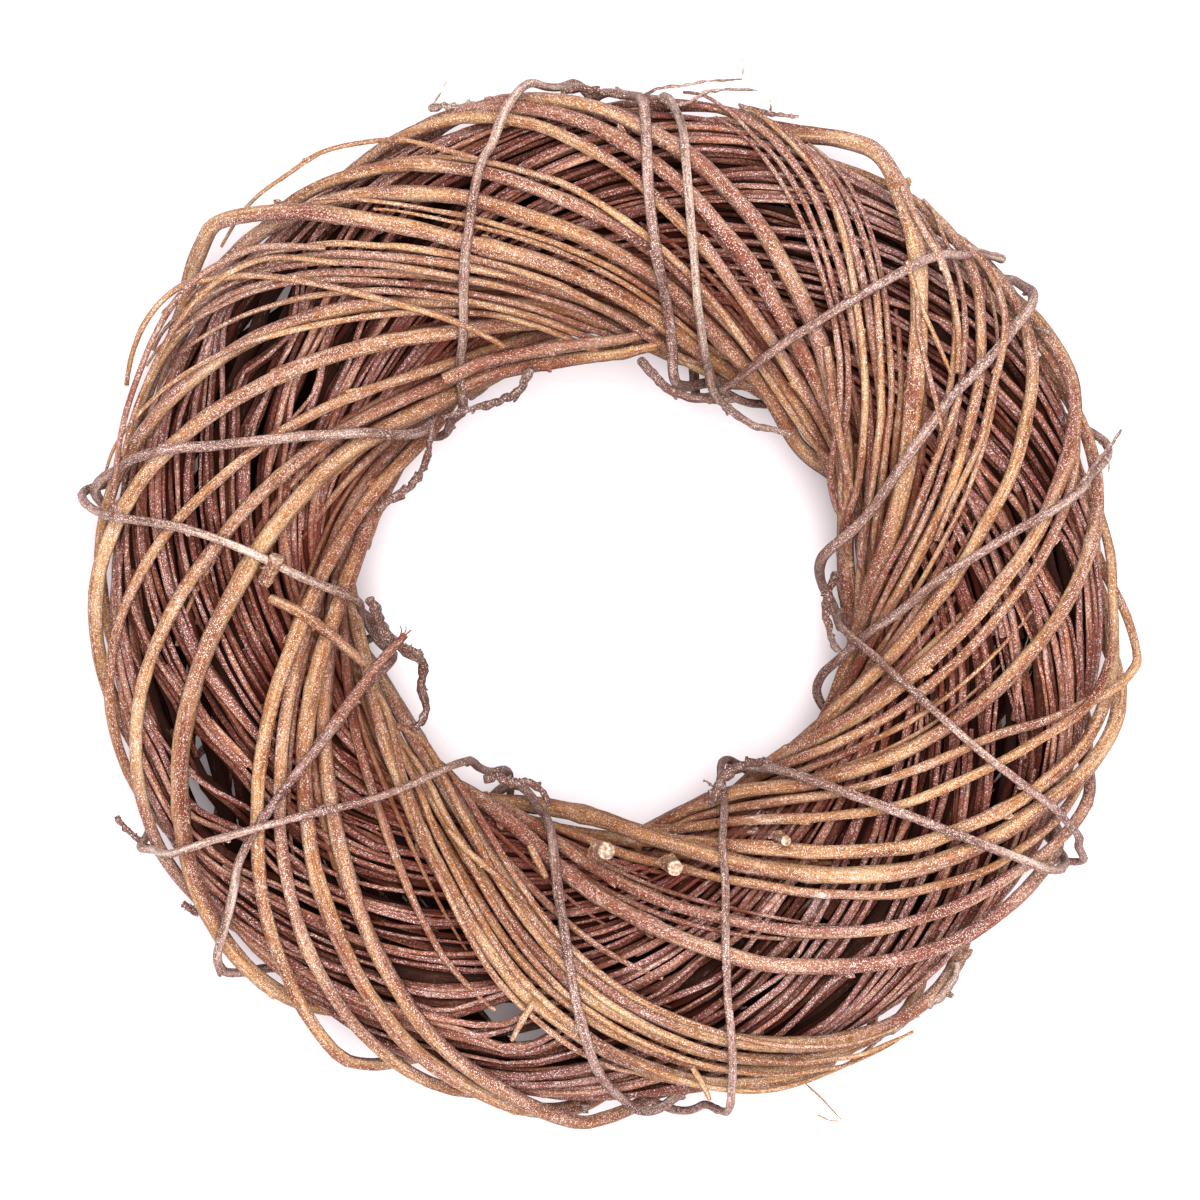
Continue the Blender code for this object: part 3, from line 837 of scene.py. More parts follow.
# the bed: fine twigs twisted along the ring, in layers of crossing slopes
bed = {
    # name, tracks side by side round the section, whole turns of slope, depth under the outline,
    # thickness, stick and bark
    "layers": (
        ("bed_twigs_outer", 72, 78, 1.1, (1.0, 2.5), "fine", "bedBark"),
        # the deeper layers wear copies of the bark painted darker for shade
        ("bed_twigs_middle", 64, 80, 3.2, (1.2, 2.4), "fine", "deepBarkPaintedShade"),
        ("bed_twigs_inner", 56, 54, 6.0, (1.5, 2.7), "hidden", "deepBarkPaintedShade"),
        ("bed_twigs_heart", 40, 48, 9.3, (3.4, 4.4), "hidden", "heartBarkPaintedShade"),
    ),
    "rough": (5.0, 0.35),
    "span": (140.0, 300.0),  # of one twig round the ring
    "gap": (-8.0, 3.0),  # from one twig's end to the next one's start
    "flowJitter": 0.6,  # of the room between two tracks
    "lean": 0.05,  # from the track's slope
    "turnStep": 3.0,
    # waves and reach of its wandering sideways and up, and of its thickness
    "swing": ((35, 75, 160), 2.2),
    "uneven": ((24, 50), 0.6),
    "lumps": ((9, 17), 0.08),
    "level": (-0.7, 0.6),
    "endDip": (1.6, 5),  # depth, and degrees of turn from the end
    "taper": (1.1, 1, 0.7),
    "strays": 90,  # short twigs that lie across the others in the outer layer
    "strayLength": (25, 80),
    "strayStep": 2.5,
    "straySlope": 0.4,
    "straySwing": ((35, 75), 2.2),
    "strayLumps": ((9, 17), 0.1),
    "strayLevel": (-1.3, -0.6),
    "strayDip": (2.5, 4),
    "strayTaper": (1.1, 0.6),
    "strayThinner": 0.9,
    "partings": 170,  # places where twigs lean apart
    "partReach": 30,  # how far these lie from the middle of the section
    "partAlong": (3.0, 6.5),  # degrees of turn
    "partAcross": (1.8, 4.0),  # degrees of flow, to each side
    # turn, radius and reach of dark hollows
    "hollows": (
        (140, 129, 7), (115, 120, 6), (144.5, 106.5, 5), (148.5, 119, 5),
        (137, 106.5, 3.5), (128, 131, 5), (62, 127, 4), (341, 122, 5), (300, 131, 4.5),
    ),
    # turn and radius of the places where light comes through
    "seenThrough": (
        (5, 132.8), (138.5, 130), (142.5, 133), (193.5, 133.3), (203.1, 126.3), (207, 131.3),
        (212.8, 131.3), (257, 123.5), (260.5, 127),
    ),
    "seenAlong": 5.5,
    "seenAcross": 9.0,
    "sightTilt": 2.3,  # the camera looks a little outwards, so a gap underneath lies further out than on top
}


def makePartings():
    # turn, radius, above or underneath, reach along the turn, push aside, and how many layers part
    rng = random.Random(60)
    spots = []
    for _ in range(bed["partings"]):
        radius = ring["radius"] + rng.uniform(-bed["partReach"], bed["partReach"])
        along, across = rng.uniform(*bed["partAlong"]), rng.uniform(*bed["partAcross"])
        spots.append((rng.uniform(0, 360), radius, rng.choice((-1, 1, 1)), along, across, 2))
    spots += [(turn, radius, 1, reach, 1.3 * reach, 3) for turn, radius, reach in bed["hollows"]]
    along, across, tilt = bed["seenAlong"], bed["seenAcross"], bed["sightTilt"]
    for turn, radius in bed["seenThrough"]:
        spots += [(turn, radius - tilt * side, side, along, across, 4) for side in (-1, 1)]
    return spots


def parted(turn, flow, depth, spots, layer):
    for at, radius, side, along, across, layers in spots:
        near = (turn - at + 180) % 360 - 180
        share = (radius - ring["radius"]) / (ring["bedHalfWidth"] - depth)
        if np.abs(near).min() < 2 and abs(share) < 0.97 and layer < layers:
            middle = flowOf(side * math.degrees(math.acos(share)))
            aside = (flow[np.argmin(np.abs(near))] - middle + 180) % 360 - 180
            push = across * math.exp(-abs(aside) / across / 1.5)
            flow = flow + math.copysign(push, aside) * np.exp(-(near / along) ** 2)
    return flow


def endDip(turn, depth, reach):
    return depth * np.exp(-np.minimum(turn - turn[0], turn[-1] - turn) / reach)


def trackTwig(rng, track, at, span, layer, spots):
    # points, radii and look of a twig that runs round the ring on its track
    _, tracks, rounds, depth, thickness, _, _ = bed["layers"][layer]
    turn = np.arange(at, at + span, bed["turnStep"])
    swing = wander(rng, turn, *bed["swing"])
    aside = rng.uniform(-1, 1) * bed["flowJitter"] * 360 / tracks
    lean = rng.gauss(0, bed["lean"]) * (turn - at - span / 2)
    flow = 360 * track / tracks + rounds / tracks * turn + swing + aside + lean
    flow = parted(turn, flow, depth, spots, layer)
    height = -depth + rng.uniform(*bed["level"]) + wander(rng, turn, *bed["uneven"])
    height = height - endDip(turn, *bed["endDip"]) * rng.uniform(0, 1)
    points = overFloor(turn, rollOf(flow), height)
    thick = rng.uniform(*thickness)
    shape = np.interp(np.arange(len(turn)), [0, len(turn) / 2, len(turn) - 1], bed["taper"])
    shape = shape * (1 + wander(rng, turn, *bed["lumps"]))
    gold = 1.5 * rng.random() ** 1.2 - 0.4
    look = (gold, 0.5 * rng.random(), 0.9 * rng.random() ** 1.6, rng.uniform(0, 5))
    return points, thick / 2 * shape, look


def strayTwig(rng, slope, thickness, spots):
    # points, radii and look of a short twig that lies across the others
    span = rng.uniform(*bed["strayLength"])
    turn = rng.uniform(0, 360) + np.arange(0, span, bed["strayStep"])
    lean = slope + rng.gauss(0, bed["straySlope"])
    flow = rng.uniform(-90, 270) + lean * (turn - turn[0]) + wander(rng, turn, *bed["straySwing"])
    flow = parted(turn, flow, 1.0, spots, 0)
    height = rng.uniform(*bed["strayLevel"]) + wander(rng, turn, *bed["uneven"])
    height = height - endDip(turn, *bed["strayDip"])
    points = overFloor(turn, rollOf(flow), height)
    shape = np.linspace(*bed["strayTaper"], len(turn)) * (1 + wander(rng, turn, *bed["strayLumps"]))
    look = (rng.random(), rng.random() ** 2, 0.6 * rng.random() ** 2, rng.uniform(0, 5))
    thick = rng.uniform(*thickness) * bed["strayThinner"]
    return points, thick / 2 * shape, look


def makeBed(sticks, barks):
    nodes = [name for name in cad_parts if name.startswith("twig_bed")]
    spots = makePartings()
    pieces = []
    for number, (name, tracks, rounds, _, thickness, stick, bark) in enumerate(bed["layers"]):
        rng = random.Random(40 + number)
        families = math.gcd(tracks, rounds)
        bent = []
        for track in range(families):
            at, finish = rng.uniform(0, 100), 360 * tracks / families
            while at < finish:
                span = rng.uniform(*bed["span"])
                twig = trackTwig(rng, track, at, span, number, spots)
                bent.append(bendCopy(sticks[stick], f"{name}{len(bent)}", *twig))
                at += span + rng.uniform(*bed["gap"])
        for stray in range(0 if number else bed["strays"]):
            twig = strayTwig(rng, rounds / tracks, thickness, spots)
            bent.append(bendCopy(sticks["loose"], f"stray{stray}", *twig))
        count = len(bent)
        piece = joinTwigs(name, bent)
        roughen(piece, *bed["rough"])
        settle(piece, barks[bark], *(() if number else nodes))
        pieces.append(piece)
        print("bed layer", name, count, "twigs", len(piece.data.polygons), "triangles", triangles(piece))
    return pieces


# rods
def makeRods(sticks, laid, bark):
    lines, pieces = {}, []
    routes = rodRoutes()
    layout = rods["layout"]
    for i in sorted(range(len(layout)), key=lambda n: layout[n][2]):
        lines[i] = layTwig(routes[i], rods["segments"], rods["finer"], layout[i][2] / 2, rods["climb"], laid)
    for i, (_, _, thick, golden) in enumerate(layout):
        rng = random.Random(200 + i)
        turn, roll, height = lines[i]
        along = np.linspace(0, 370, len(turn))
        turn = turn + wander(rng, along, *rods["sway"])
        height = height + wander(rng, along, *rods["rise"])
        points = overFloor(turn, roll, height)
        radii = thick / 2 * np.linspace(1, rods["tip"], len(points))
        radii = radii * (1 + wander(rng, along, *rods["lumps"]))
        gold = golden + wander(rng, along, *rods["goldSwing"])
        look = (gold, rng.random() ** 2, 0, rng.uniform(0, 5))
        name = f"rod_{i + 1:02d}"
        piece = joinTwigs(name, [bendCopy(sticks[f"rod{i % 4}"], name, points, radii, look)])
        roughen(piece, *rods["rough"])
        settle(piece, bark, f"willow_{name}")
        pieces.append(piece)
    print("rods done")
    return pieces


def makeBinding(stick, laid, bark):
    pieces = []
    for n, (passes, rising) in enumerate(((binding["rising"], True), (binding["falling"], False))):
        rng = random.Random(300 + n)
        radius = binding["thickness"][n] / 2
        segments = binding["segments"] * len(passes)
        turn, roll, height = layTwig(
            bindingRoute(passes, rising), segments, binding["finer"], radius, binding["climb"], laid, 5, True)
        along = np.linspace(0, 240 * len(passes), len(turn))
        points = overFloor(turn + wander(rng, along, *binding["sway"]), roll, height)
        radii = radius * np.linspace(1, rods["tip"], len(points))
        radii = radii * (1 + wander(rng, along, *binding["lumps"]))
        name = f"binding_{n + 1:02d}"
        pale = np.clip(1 - np.abs(turn - binding["paleAt"]) / 12, 0, 1) if rising else 0
        gnarl = 0.35 * np.clip(-np.cos(np.radians(roll)), 0, 1)
        look = (0.1 + 0.9 * pale, 0.2 + 0.8 * pale, gnarl, rng.uniform(0, 5))
        piece = joinTwigs(name, [bendCopy(stick, name, points, radii, look)])
        roughen(piece, *binding["rough"])
        settle(piece, bark, f"binding_twig_{n + 1:02d}")
        pieces.append(piece)
    print("binding done")
    return pieces


# thin rods, in the gaps between the rods and over them
thinRods = {
    # turn on top of the ring, slope, thickness, gold, first and last flow
    "placed": (
        (19.6, 2.6, 1.8, 0.5, 166, 15), (27, 2.6, 2.3, 0.1, 171, 5), (29.4, 2.6, 2.2, 0.2, 171, 12),
        (43.6, 2.6, 2.1, 0.1, 166, 10), (45.8, 2.6, 2.4, 0.2, 176, -5), (50.1, 2.6, 2.4, 0.7, 176, 5),
        (54.4, 2.6, 2, 0.2, 166, 0), (56.3, 2.6, 2, 0.1, 163, 15), (89.3, 1.8, 2.4, 0.8, 176, -5),
        (105.4, 1.9, 2.2, 0.6, 171, 30), (107.4, 1.9, 1.8, 0.9, 166, 45), (115.7, 2.1, 2.4, 0.5, 171, 10),
        (120.8, 2.3, 2.2, 0.2, 171, 0), (124.6, 2.3, 2, 0.3, 171, 5), (127, 2.2, 2.2, 0.7, 166, 20),
        (133.8, 1.9, 2, 0.5, 166, 10), (253.6, 1.75, 2.2, 0.8, 171, 20), (258.9, 1.75, 2.4, 0.9, 176, -5),
        (264, 1.75, 2.2, 0.9, 171, 0), (268.6, 1.75, 2.4, 0.8, 171, 5), (273.4, 1.75, 2.2, 0.5, 166, 15),
    ),
    "gap": 4.2,  # degrees on top of the ring for one filling rod
    "wide": 13.0,  # a wider room gets no more of them
    "thickness": (1.5, 3.6),
    "firstFlow": (198, 222),
    "lastFlow": (45, 125),
    "segments": 22,
    "finer": 3,
    "climb": 0.3,
    "dive": 4.5,  # of the filling rods' ends into the bed
    "slip": 6.0,  # of the other thin rods under the rods, near the hole
    "restHeight": -0.2,  # of the filling rods' undersides over the bed
    "routePoints": 90,
    "fillingSway": ((60, 130), 0.8),
    "sway": ((60, 130), 0.4),
    "lumps": ((7, 15), 0.06),
    "rough": (4.0, 0.25),
}


def fillingRods(rng):
    # turn, flow, thickness and gold of those in the gaps
    layout = sorted(rods["layout"])
    routes = []
    for i, (crest, slope, _, gold) in enumerate(layout):
        following = layout[(i + 1) % len(layout)]
        room = (following[0] - crest) % 360
        wanted = round(min(room, thinRods["wide"]) / thinRods["gap"])
        for k in range(wanted):
            share = (k + rng.uniform(0.3, 0.8)) / wanted
            own = slope + share * (following[1] - slope)
            first, last = rng.uniform(*thinRods["firstFlow"]), rng.uniform(*thinRods["lastFlow"])
            flow = np.linspace(first, last, thinRods["routePoints"])
            turn = crest + share * room + (topFlow - flow) / own / rng.uniform(0.88, 1.12)
            turn = turn + wander(rng, flow, *thinRods["fillingSway"])
            thick = rng.uniform(*thinRods["thickness"])
            routes.append((turn, flow, thick, min(1, max(0, gold + rng.uniform(-0.5, 0.3)))))
    return routes


def placedRods(rng):
    routes = []
    for crest, slope, thick, gold, first, last in thinRods["placed"]:
        flow = np.linspace(first, last, thinRods["routePoints"])
        turn = crest + (topFlow - flow) / slope + wander(rng, flow, *thinRods["sway"])
        routes.append((turn, flow, thick, gold))
    return routes


def makeThinRods(stick, laid, rodBark):
    rng = random.Random(77)
    tucked, over = fillingRods(rng), placedRods(rng)
    bent = []
    for way, group in ((1, over), (-1, tucked)):
        for turn, flow, thick, gold in group:
            radius = thick / 2
            segments, finer = thinRods["segments"], thinRods["finer"]
            turnNow, roll, _ = evenSteps(turn, flow, np.zeros(len(turn)), segments)
            rest = laying["bedClearance"] if way > 0 else thinRods["restHeight"]
            height = np.full(len(turnNow), radius + rest)
            height = cleared(turnNow, roll, height, radius, thinRods["climb"], laid, way)
            if way > 0:
                points, _ = onRing(turnNow, roll, height)
                laid.append((points[:-1], points[1:], np.full(segments, radius)))
            turnNow, roll, _ = evenSteps(turn, flow, np.zeros(len(turn)), segments * finer)
            along = np.arange(segments * finer + 1)
            dive = thinRods["dive"] * (1 - way) / 2 * np.exp((along - along[-1]) / finer / 2.5)
            dive = dive + thinRods["slip"] * (1 + way) / 2 * np.exp(-along / finer / 1.8)
            points = overFloor(turnNow, roll, throughPoints(height, along / finer) - dive)
            shape = np.interp(along / along[-1], [0, 0.1, 0.6, 1], [0.9, 1.0, 0.95, 0.45])
            look = (gold, rng.random() ** 3, 0, rng.uniform(0, 5))
            radii = radius * shape * (1 + wander(rng, along, *thinRods["lumps"]))
            bent.append(bendCopy(stick, f"thinRod{len(bent)}", points, radii, look))
    piece = joinTwigs("thin_rods", bent)
    roughen(piece, *thinRods["rough"])
    settle(piece, rodBark)
    print("thin rods", len(bent), "triangles", triangles(piece))
    return piece


# loose twigs: thin ones that lie on the rods, and tips, curls and whiskers that stand free
looseTwigs = {
    # thickness, gold, frost, and points in x and y; each lies on what is under it
    "onTop": (
        (2, 1, 0, ((-29, 73.3), (-43.4, 80.1), (-61.4, 85.5), (-83.1, 91), (-100.1, 93.5), (-111.7, 93),
            (-121.4, 91.6), (-129, 86.5), (-134.5, 79.5), (-138.2, 70.6), (-139.7, 63.5))),
        (2, 0.3, 0.3, ((-80, 101), (-93.3, 101.9), (-103.7, 100.5), (-118.5, 92.4), (-130.2, 77.6),
            (-137.6, 56.9), (-140.5, 40), (-141.5, 24))),
        (1.8, 0.8, 0.1, ((-76, 96.5), (-92, 98.6), (-103, 96.8), (-115.5, 89), (-126.5, 76),
            (-134.5, 57.5), (-138.5, 42))),
        (1.5, 0.9, 0.2, ((85.1, 97.1), (89.2, 84.7), (94, 74.8), (98.5, 64.5))),
        (1.7, 0.3, 0.2, ((88.4, 86.2), (88.9, 76.4), (92.8, 60.5), (95.4, 48.9))),
        (2.2, 0.6, 0.3, ((84.7, 119), (89.4, 108.3), (94.8, 98.3), (98.1, 90.5), (100.4, 77.7),
            (100, 65.4))),
        (2.3, 0.7, 0.1, ((102.6, 104.6), (110, 95.6), (113.8, 84), (113.3, 74), (110, 59.8), (105.9, 44.6),
            (98.8, 29.6), (94.1, 18))),
        (2.2, 0.5, 0.2, ((100.2, 58.2), (96.2, 47.5), (90.7, 33), (86.1, 20.6))),
        (2.6, 0.4, 0.2, ((62.6, 72.9), (63.8, 65), (64.5, 57.4), (68, 41.1), (70.2, 32.5))),
        (3.4, 0.5, 0.1, ((-95.7, 1.4), (-87.4, -2.5), (-79.2, -8.3), (-73.9, -13), (-69.5, -17.2))),
        (2, 1, 0, ((-44.6, -64.6), (-39, -70.8), (-30.9, -77.3), (-22.3, -84.8))),
        (2.4, 1, 0.3, ((-21.7, -69.5), (-19.3, -74), (-17, -78.3))),
        (2, 0.9, 0, ((-20.2, -112.7), (-23.9, -118.5), (-26.8, -124.3))),
        (1.6, 0.8, 0.2, ((-36.5, 126), (-47.5, 129.6), (-59.3, 133))),
        (1.8, 0.9, 0.1, ((24.5, -132.1), (27.5, -137.1), (29.6, -141.8))),
    ),
    # thickness, gold, frost, gnarl, and points in x, y and height over the floor
    "free": (
        (1.6, 0.8, 0.2, 0, ((-57.9, 132.7, 52), (-63.4, 133.5, 50), (-72.6, 132.7, 47), (-82.8, 130.2, 46),
            (-93.3, 123.5, 44), (-100.2, 119, 42), (-106.5, 112.9, 39), (-112.3, 103.9, 36))),
        (3.6, 0.1, 0.9, 0.2, ((-84, -43, 63), (-77.2, -34, 63), (-65.5, -18, 62), (-57.4, -8.9, 61))),
        (0.5, 0.2, 0.9, 0.2, ((-58.4, -10, 61.5), (-57.2, -7.9, 62), (-57.2, -6.6, 62.5))),
        (0.6, 0, 0.9, 0.2, ((-58.2, -10.2, 61), (-56.6, -8.4, 60.5), (-55.6, -7.6, 60))),
        (0.5, 0.4, 0.9, 0.2, ((-58.8, -9.8, 62), (-58.4, -7.8, 62.8), (-58.8, -6.4, 62.6))),
        (2.2, 0.4, 0.2, 0.3, ((98, -112.8, 37), (99.6, -113.8, 37), (101.2, -114.6, 37))),
        (2.6, 0.2, 0.2, 0.3, ((-6.2, -146.4, 33), (-6, -148, 33), (-5.8, -149.4, 33))),
        (0.9, 0, 0.2, 0.6, ((9.8, 145.2, 46), (11.6, 147.5, 44), (14.8, 149.1, 43), (21.7, 150, 43),
            (28.7, 151.4, 43), (39.4, 151.9, 44))),
        (0.35, 0.3, 0.3, 0.3, ((39.4, 151.9, 44), (39.7, 154.9, 45), (39.7, 158.1, 45))),
        (1.1, 0.4, 0.2, 0.6, ((17.9, 143.2, 46), (21.1, 144.2, 45), (26.4, 146.4, 44), (29.5, 148.4, 44),
            (36.5, 148.7, 44), (43.8, 148.8, 43))),
        (1.6, 0.1, 0.2, 0.6, ((38.9, 144.3, 42), (43.3, 143.5, 41), (47.7, 142.2, 40), (52.1, 142, 39),
            (56.2, 141.5, 39))),
        (0.4, 0.3, 0.3, 0.3, ((47.7, 142.5, 40), (47.9, 144.3, 42), (47.6, 146.2, 43))),
        (0.6, 0.8, 0.3, 0.3, ((-51.3, 143.9, 38), (-48.9, 147.3, 39), (-46.2, 151.8, 40))),
        (2.4, 1, 0.6, 1, ((-51, 144.2, 38), (-47.7, 144.7, 39), (-44.2, 144.5, 40), (-36.6, 144, 42),
            (-27.3, 142.9, 44))),
        (2, 0, 0.2, 1, ((-13.1, 148.9, 40), (-5.2, 149.1, 41), (0.9, 148.1, 42), (7.2, 147.1, 43),
            (13.3, 146.4, 44), (18.8, 144.4, 46))),
        (1.4, 0, 0.2, 0.8, ((125, 80.3, 40), (127.7, 79.1, 40), (131.1, 76.6, 38), (134.8, 72.7, 36))),
        (1.4, 0.6, 0.3, 0.5, ((131.4, 28.6, 60), (135.1, 32.9, 58), (139.6, 38.8, 54), (143.1, 42.6, 51),
            (146.6, 46.8, 49), (148.7, 50.3, 48))),
        (0.6, 0.6, 0.4, 0.3, ((143.4, 42.6, 51), (145.2, 40.7, 48), (145.3, 37.7, 45))),
        (1.9, 0, 0.2, 1, ((-143.4, -62.2, 35), (-140.6, -65.5, 34), (-135.9, -69.9, 34),
            (-130.3, -72.7, 35))),
        (2.4, 0.2, 0.2, 0.8, ((-124.2, -87.9, 31), (-121.9, -89.4, 31), (-118.9, -91.4, 32))),
        (0.5, 0.9, 0.4, 0.2, ((56.2, -138.7, 33), (61.3, -143.3, 31), (65.2, -147.4, 29),
            (69.2, -151.9, 26))),
        (0.5, 0.9, 0.4, 0.2, ((62.3, -150.4, 28), (65.9, -152.2, 26), (68.4, -152.6, 25))),
        (3.2, 0.3, 0.2, 0.6, ((73.9, -127.9, 40), (83.2, -123.7, 39), (90.6, -118.6, 38),
            (95.9, -115.7, 37), (99.4, -112.5, 37), (101.4, -108.7, 38), (102.1, -104.1, 40))),
        (3.3, 0, 1, 1, ((-67.4, 0.9, 62), (-66.1, -1.7, 60), (-64.2, -7.4, 57), (-60.9, -10.9, 55),
            (-57.2, -14.1, 53), (-53.9, -16.1, 51), (-52.6, -19.9, 48), (-53.3, -25.2, 45),
            (-52.2, -29.9, 43), (-53.4, -34, 42), (-56.6, -37.1, 43))),
        (2.6, 0, 1, 1, ((-60.4, -10.6, 54), (-57.7, -12.9, 55), (-54.9, -14, 55), (-53.2, -16.4, 53))),
        (2.6, 0.1, 1.4, 1, ((-21, 67.6, 56), (-25.3, 61, 52), (-30, 58.5, 50), (-35.5, 56.8, 50),
            (-41.8, 55.3, 51), (-47.1, 53.2, 54))),
        (2.8, 0.1, 0.3, 0.4, ((9.8, 69.8, 58), (15.4, 64.1, 52), (19.2, 61.1, 49), (24, 59.5, 48),
            (28.1, 58.9, 49), (33, 58.4, 52), (37.9, 58.5, 56))),
        (2.6, 0.9, 0.9, 0.4, ((29.2, 66.9, 62), (30.2, 62, 58), (32.8, 58, 54), (36.9, 54.7, 51),
            (42.4, 51.3, 50), (47.7, 50.1, 51), (53.4, 48.2, 52))),
        (2.6, 0, 1, 0.8, ((-66, 26.7, 50), (-61.8, 30.1, 48), (-57.3, 33.1, 47), (-54.2, 36.5, 47),
            (-52.1, 40.7, 48), (-50.8, 45.7, 51), (-49.9, 51.6, 55))),
        (4.6, 0.8, 0.1, 0, ((-42.3, 62.6, 50), (-32.3, 66.3, 51), (-22.3, 68.5, 51), (-13.6, 69.9, 51),
            (-5, 71, 51), (3.7, 71.9, 51), (14.4, 74.2, 50))),
        (4.2, 0.4, 0.2, 0, ((-46.5, 64, 57), (-35.2, 69, 57), (-24.7, 71.5, 57), (-14.3, 73.4, 57),
            (-3.9, 74.7, 56), (6.6, 76.4, 53), (19.1, 80.8, 45))),
        (3.6, 0.6, 0, 0, ((-40.6, 65, 42), (-30.6, 68.7, 42), (-21.6, 70.5, 42), (-14, 71.8, 42),
            (-6.4, 72.9, 42), (2.6, 74.6, 42), (13.4, 76.1, 42))),
        (2.8, 0, 1, 1, ((-34.8, -50.2, 62), (-31.2, -49.4, 61), (-27.5, -51.8, 59), (-22.6, -50.9, 58),
            (-18.6, -53.5, 58), (-16, -58, 60))),
        (0.8, 0, 0.2, 0.8, ((-34.8, -49.3, 62), (-32.8, -48.8, 62), (-30.3, -46.8, 62),
            (-30.6, -49.4, 61))),
        (3.2, 0, 1, 1, ((30.3, -57.1, 60), (31.2, -54.4, 57), (33.6, -50.3, 54), (37.3, -47.4, 54),
            (42.4, -45.5, 57), (46.8, -45.1, 61))),
        (0.6, 0.3, 0.4, 0.3, ((27.8, -50.8, 54), (29.6, -51.7, 54), (31.8, -53.7, 55))),
        (2.6, 0, 1, 1, ((65.7, 8, 60), (63.9, 3.7, 56), (63.2, -0.6, 53), (63.9, -5.5, 51),
            (64.7, -10.6, 52), (67.6, -14.9, 57))),
    ),
    "step": 3.0,
    "climb": 0.4,
    "sway": ((3, 7, 13), 0.7),  # of gnarled ones, counted in steps
    "lumps": ((2.3, 5), 0.4),
    "rough": (3.0, 0.25),
    "gnarledRough": (1.6, 0.9),
}


def throughAll(points, step):
    # a smooth line through control points, with a point about every step
    points = np.array(points, float)
    length = np.linalg.norm(np.diff(points, axis=0), axis=1).sum()
    places = np.linspace(0, len(points) - 1, max(6, int(length / step)))
    return np.column_stack([throughPoints(column, places) for column in points.T])


def droppedOn(line, radius, laid):
    # the level at which each point of a twig, seen from above, rests on the bed and on all that is laid
    away = np.hypot(line[:, 0], line[:, 1]) - ring["radius"]
    width = halfWidth(np.degrees(np.arctan2(line[:, 1], line[:, 0])), away < 0)
    over = radius + laying["bedClearance"]
    across = np.clip(away / (width + over), -1, 1)
    level = (ring["bedHalfHeight"] + over) * np.sqrt(1 - across ** 2)
    for starts, ends, radii in laid:
        along = (ends - starts)[None, :, :2]
        share = ((line[:, None] - starts[None, :, :2]) * along).sum(axis=2)
        share = np.clip(share / np.maximum((along ** 2).sum(axis=2), 0.01), 0, 1)
        nearest = starts[None] + share[..., None] * (ends - starts)[None]
        gap = np.hypot(line[:, None, 0] - nearest[..., 0], line[:, None, 1] - nearest[..., 1])
        need = radius + radii + laying["rodClearance"]
        lifted = nearest[..., 2] + np.sqrt(np.maximum(need ** 2 - gap ** 2, 0))
        level = np.maximum(level, np.where((gap < need) & (nearest[..., 2] > 0), lifted, 0).max(axis=1))
    step = np.concatenate([[0], np.cumsum(np.hypot(*np.diff(line, axis=0).T))])
    level = (level[None, :] - looseTwigs["climb"] * np.abs(step[:, None] - step[None, :])).max(axis=1)
    return smoothed(level, 4)


def makeLooseTwigs(sticks, laid, bark, darkBark):
    rng = random.Random(91)
    bent, loops = [], []
    swayWaves, sway = looseTwigs["sway"]
    lumpWaves, lumps = looseTwigs["lumps"]
    for thick, gold, frost, points in looseTwigs["onTop"]:
        line = throughAll(points, looseTwigs["step"])
        radius = thick / 2
        line = np.column_stack([line, droppedOn(line, radius, laid)])
        laid.append((line[:-1], line[1:], np.full(len(line) - 1, radius)))
        line = line + (0, 0, middleLevel)
        shape = np.interp(np.linspace(0, 1, len(line)), [0, 0.1, 0.7, 1], [0.9, 1, 0.95, 0.7])
        look = (gold, frost, 0, rng.uniform(0, 5))
        bent.append(bendCopy(sticks["loose"], f"lying{len(bent)}", line, radius * shape, look))
    for thick, gold, frost, gnarl, points in looseTwigs["free"]:
        line = throughAll(points, looseTwigs["step"] * (0.5 if gnarl else 1))
        along = np.arange(len(line))
        line = line + np.column_stack([wander(rng, along, swayWaves, sway * gnarl) for _ in range(3)])
        shape = np.interp(along / along[-1], [0, 0.5, 1], [1, 0.95, 0.6])
        shape = shape * (1 + wander(rng, along, lumpWaves, lumps * gnarl))
        look = (gold, frost, gnarl, rng.uniform(0, 5))
        if gnarl > 0.25:
            stick = sticks["gnarled" if gnarl > 0.7 else "loose"]
            loops.append(bendCopy(stick, f"gnarled{len(loops)}", line, thick / 2 * shape, look))
        else:
            bent.append(bendCopy(sticks["loose"], f"free{len(bent)}", line, thick / 2 * shape, look))
    loose = joinTwigs("loose_twigs", bent)
    roughen(loose, *looseTwigs["rough"])
    settle(loose, bark)
    gnarled = joinTwigs("gnarled_twigs", loops)
    roughen(gnarled, *looseTwigs["gnarledRough"])
    settle(gnarled, darkBark)
    print("loose twigs", len(bent), "gnarled", len(loops))
    return [loose, gnarled]


# cut ends of rods that look up out of the bundle
cutEnds = {
    # x, y, height of the cut, radius, and how far its rod leans and to which side
    "places": (
        (0, -70.3, 68.5, 2.7, 22, 200), (19.5, -75.2, 68, 2.4, 16, 150),
        (51, -67.5, 66.5, 1.6, 18, 160), (-93.5, 12.5, 69.5, 2.3, 55, 240),
    ),
    "length": 9.0,
    "faceThickness": 1.0,
    "faceBevel": 0.25,
    "faceRough": (1.5, 0.2),
}


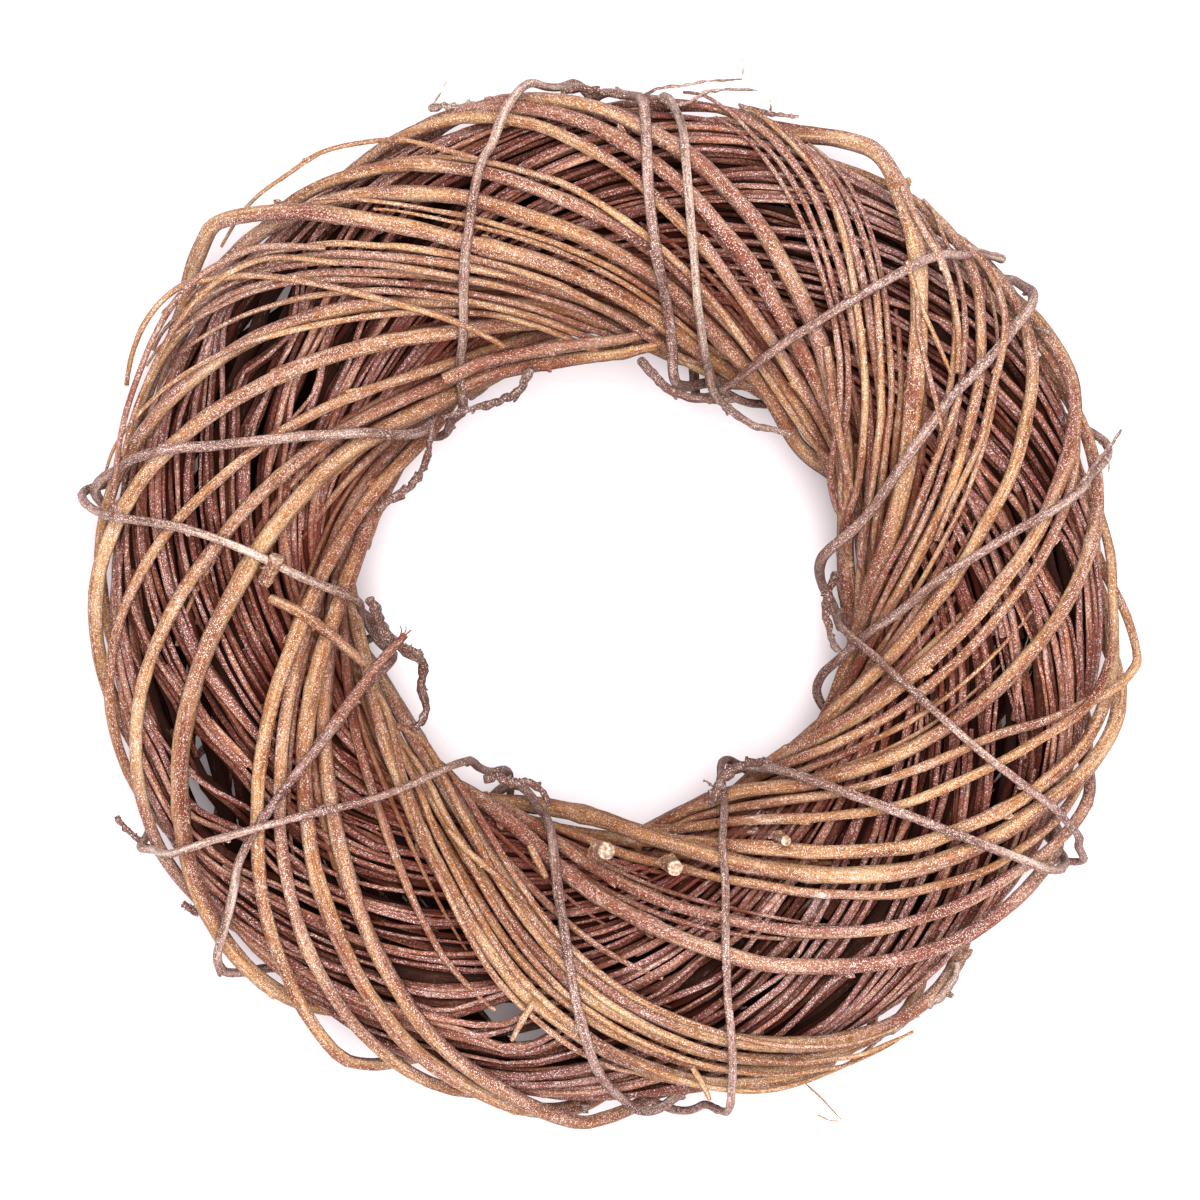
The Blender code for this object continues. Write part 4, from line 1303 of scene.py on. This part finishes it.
def makeCutEnds(stick, rodBark, wood):
    bent = []
    faces = []
    for n, (x, y, z, radius, lean, side) in enumerate(cutEnds["places"]):
        lean, side = math.radians(lean), math.radians(side)
        back = np.array([math.sin(lean) * math.cos(side), math.sin(lean) * math.sin(side), -math.cos(lean)])
        line = np.array([x, y, z]) + np.linspace(0, cutEnds["length"], 8)[:, None] * back
        bent.append(bendCopy(stick, f"stub{n}", line, np.full(8, radius), (0.5, 0.4, 0, n)))
        bpy.ops.object.select_all(action="DESELECT")
        bpy.ops.mesh.primitive_cylinder_add(
            vertices=16, radius=radius * 0.93 * mm, depth=cutEnds["faceThickness"] * mm,
            location=(x * mm, y * mm, z * mm), rotation=(0, lean, side + math.pi))
        face = bpy.context.object
        bpy.ops.object.transform_apply()
        bpy.ops.object.mode_set(mode="EDIT")
        bpy.ops.mesh.select_mode(type="FACE")
        bpy.ops.mesh.select_all(action="SELECT")
        bpy.ops.mesh.bevel(offset=cutEnds["faceBevel"] * mm, segments=2)
        bpy.ops.object.mode_set(mode="OBJECT")
        bpy.ops.object.shade_smooth_by_angle(angle=math.radians(40))
        faces.append(face)
    stubs = joinTwigs("cut_stubs", bent)
    settle(stubs, rodBark)
    selectOnly(*faces)
    bpy.ops.object.join()
    piece = bpy.context.object
    piece.name = "cut_faces"
    roughen(piece, *cutEnds["faceRough"])
    settle(piece, wood)
    print("cut ends", len(bent))
    return [stubs]


# floor and light
studio = {
    "floor": (0.63, 0.57, 0.585),
    "sky": (1.0, 0.985, 0.99),
    "skyStrength": 0.85,
    # place, size and power of each soft light
    "lights": (((0.05, 0.42, 1.5), 1.0, 33.0), ((0.1, -0.42, 1.5), 1.0, 32.0)),
}


def lightStudio():
    bpy.ops.mesh.primitive_plane_add(size=6, location=(0, 0, 0))
    floor = bpy.context.object
    floor.name = "floor"
    material, tree, shader = newMaterial("paleFloor")
    feed(tree, shader.inputs["Base Color"], studio["floor"])
    shader.inputs["Roughness"].default_value = 0.9
    floor.data.materials.append(material)
    world = bpy.data.worlds.new("softSky")
    world.use_nodes = True
    sky = world.node_tree.nodes["Background"]
    sky.inputs["Color"].default_value = (*studio["sky"], 1)
    sky.inputs["Strength"].default_value = studio["skyStrength"]
    bpy.context.scene.world = world
    for place, size, power in studio["lights"]:
        bpy.ops.object.light_add(type="AREA", location=place)
        light = bpy.context.object
        light.data.shape = "DISK"
        light.data.size = size
        light.data.energy = power
        aim = -light.location
        light.rotation_euler = aim.to_track_quat("-Z", "Y").to_euler()
    bpy.context.scene.view_settings.view_transform = "Standard"


placeCamera()
lightStudio()
print("camera and light done")
sticks = {kind: makeStick(kind + "Stick", *shape) for kind, shape in stickKinds.items()}
print("sticks done")
barks = {name: barkMaterial(name) for name in barkKinds}
barked = makeBed(sticks, barks)
laid = []  # starts, ends and radii of all that lies on the bed
barked += makeRods(sticks, laid, barks["rodBark"])
barked.append(makeThinRods(sticks["thin"], laid, barks["rodBark"]))
barked += makeBinding(sticks["binding"], laid, barks["bindingBark"])
barked += makeLooseTwigs(sticks, laid, barks["rodBark"], barks["bindingBark"])
barked += makeCutEnds(sticks["loose"], barks["rodBark"], cutWoodMaterial())
# paints shade into the bark by its depth among the twigs
paintShadeByDepth(barked)
for stick in sticks.values():
    bpy.data.objects.remove(stick)
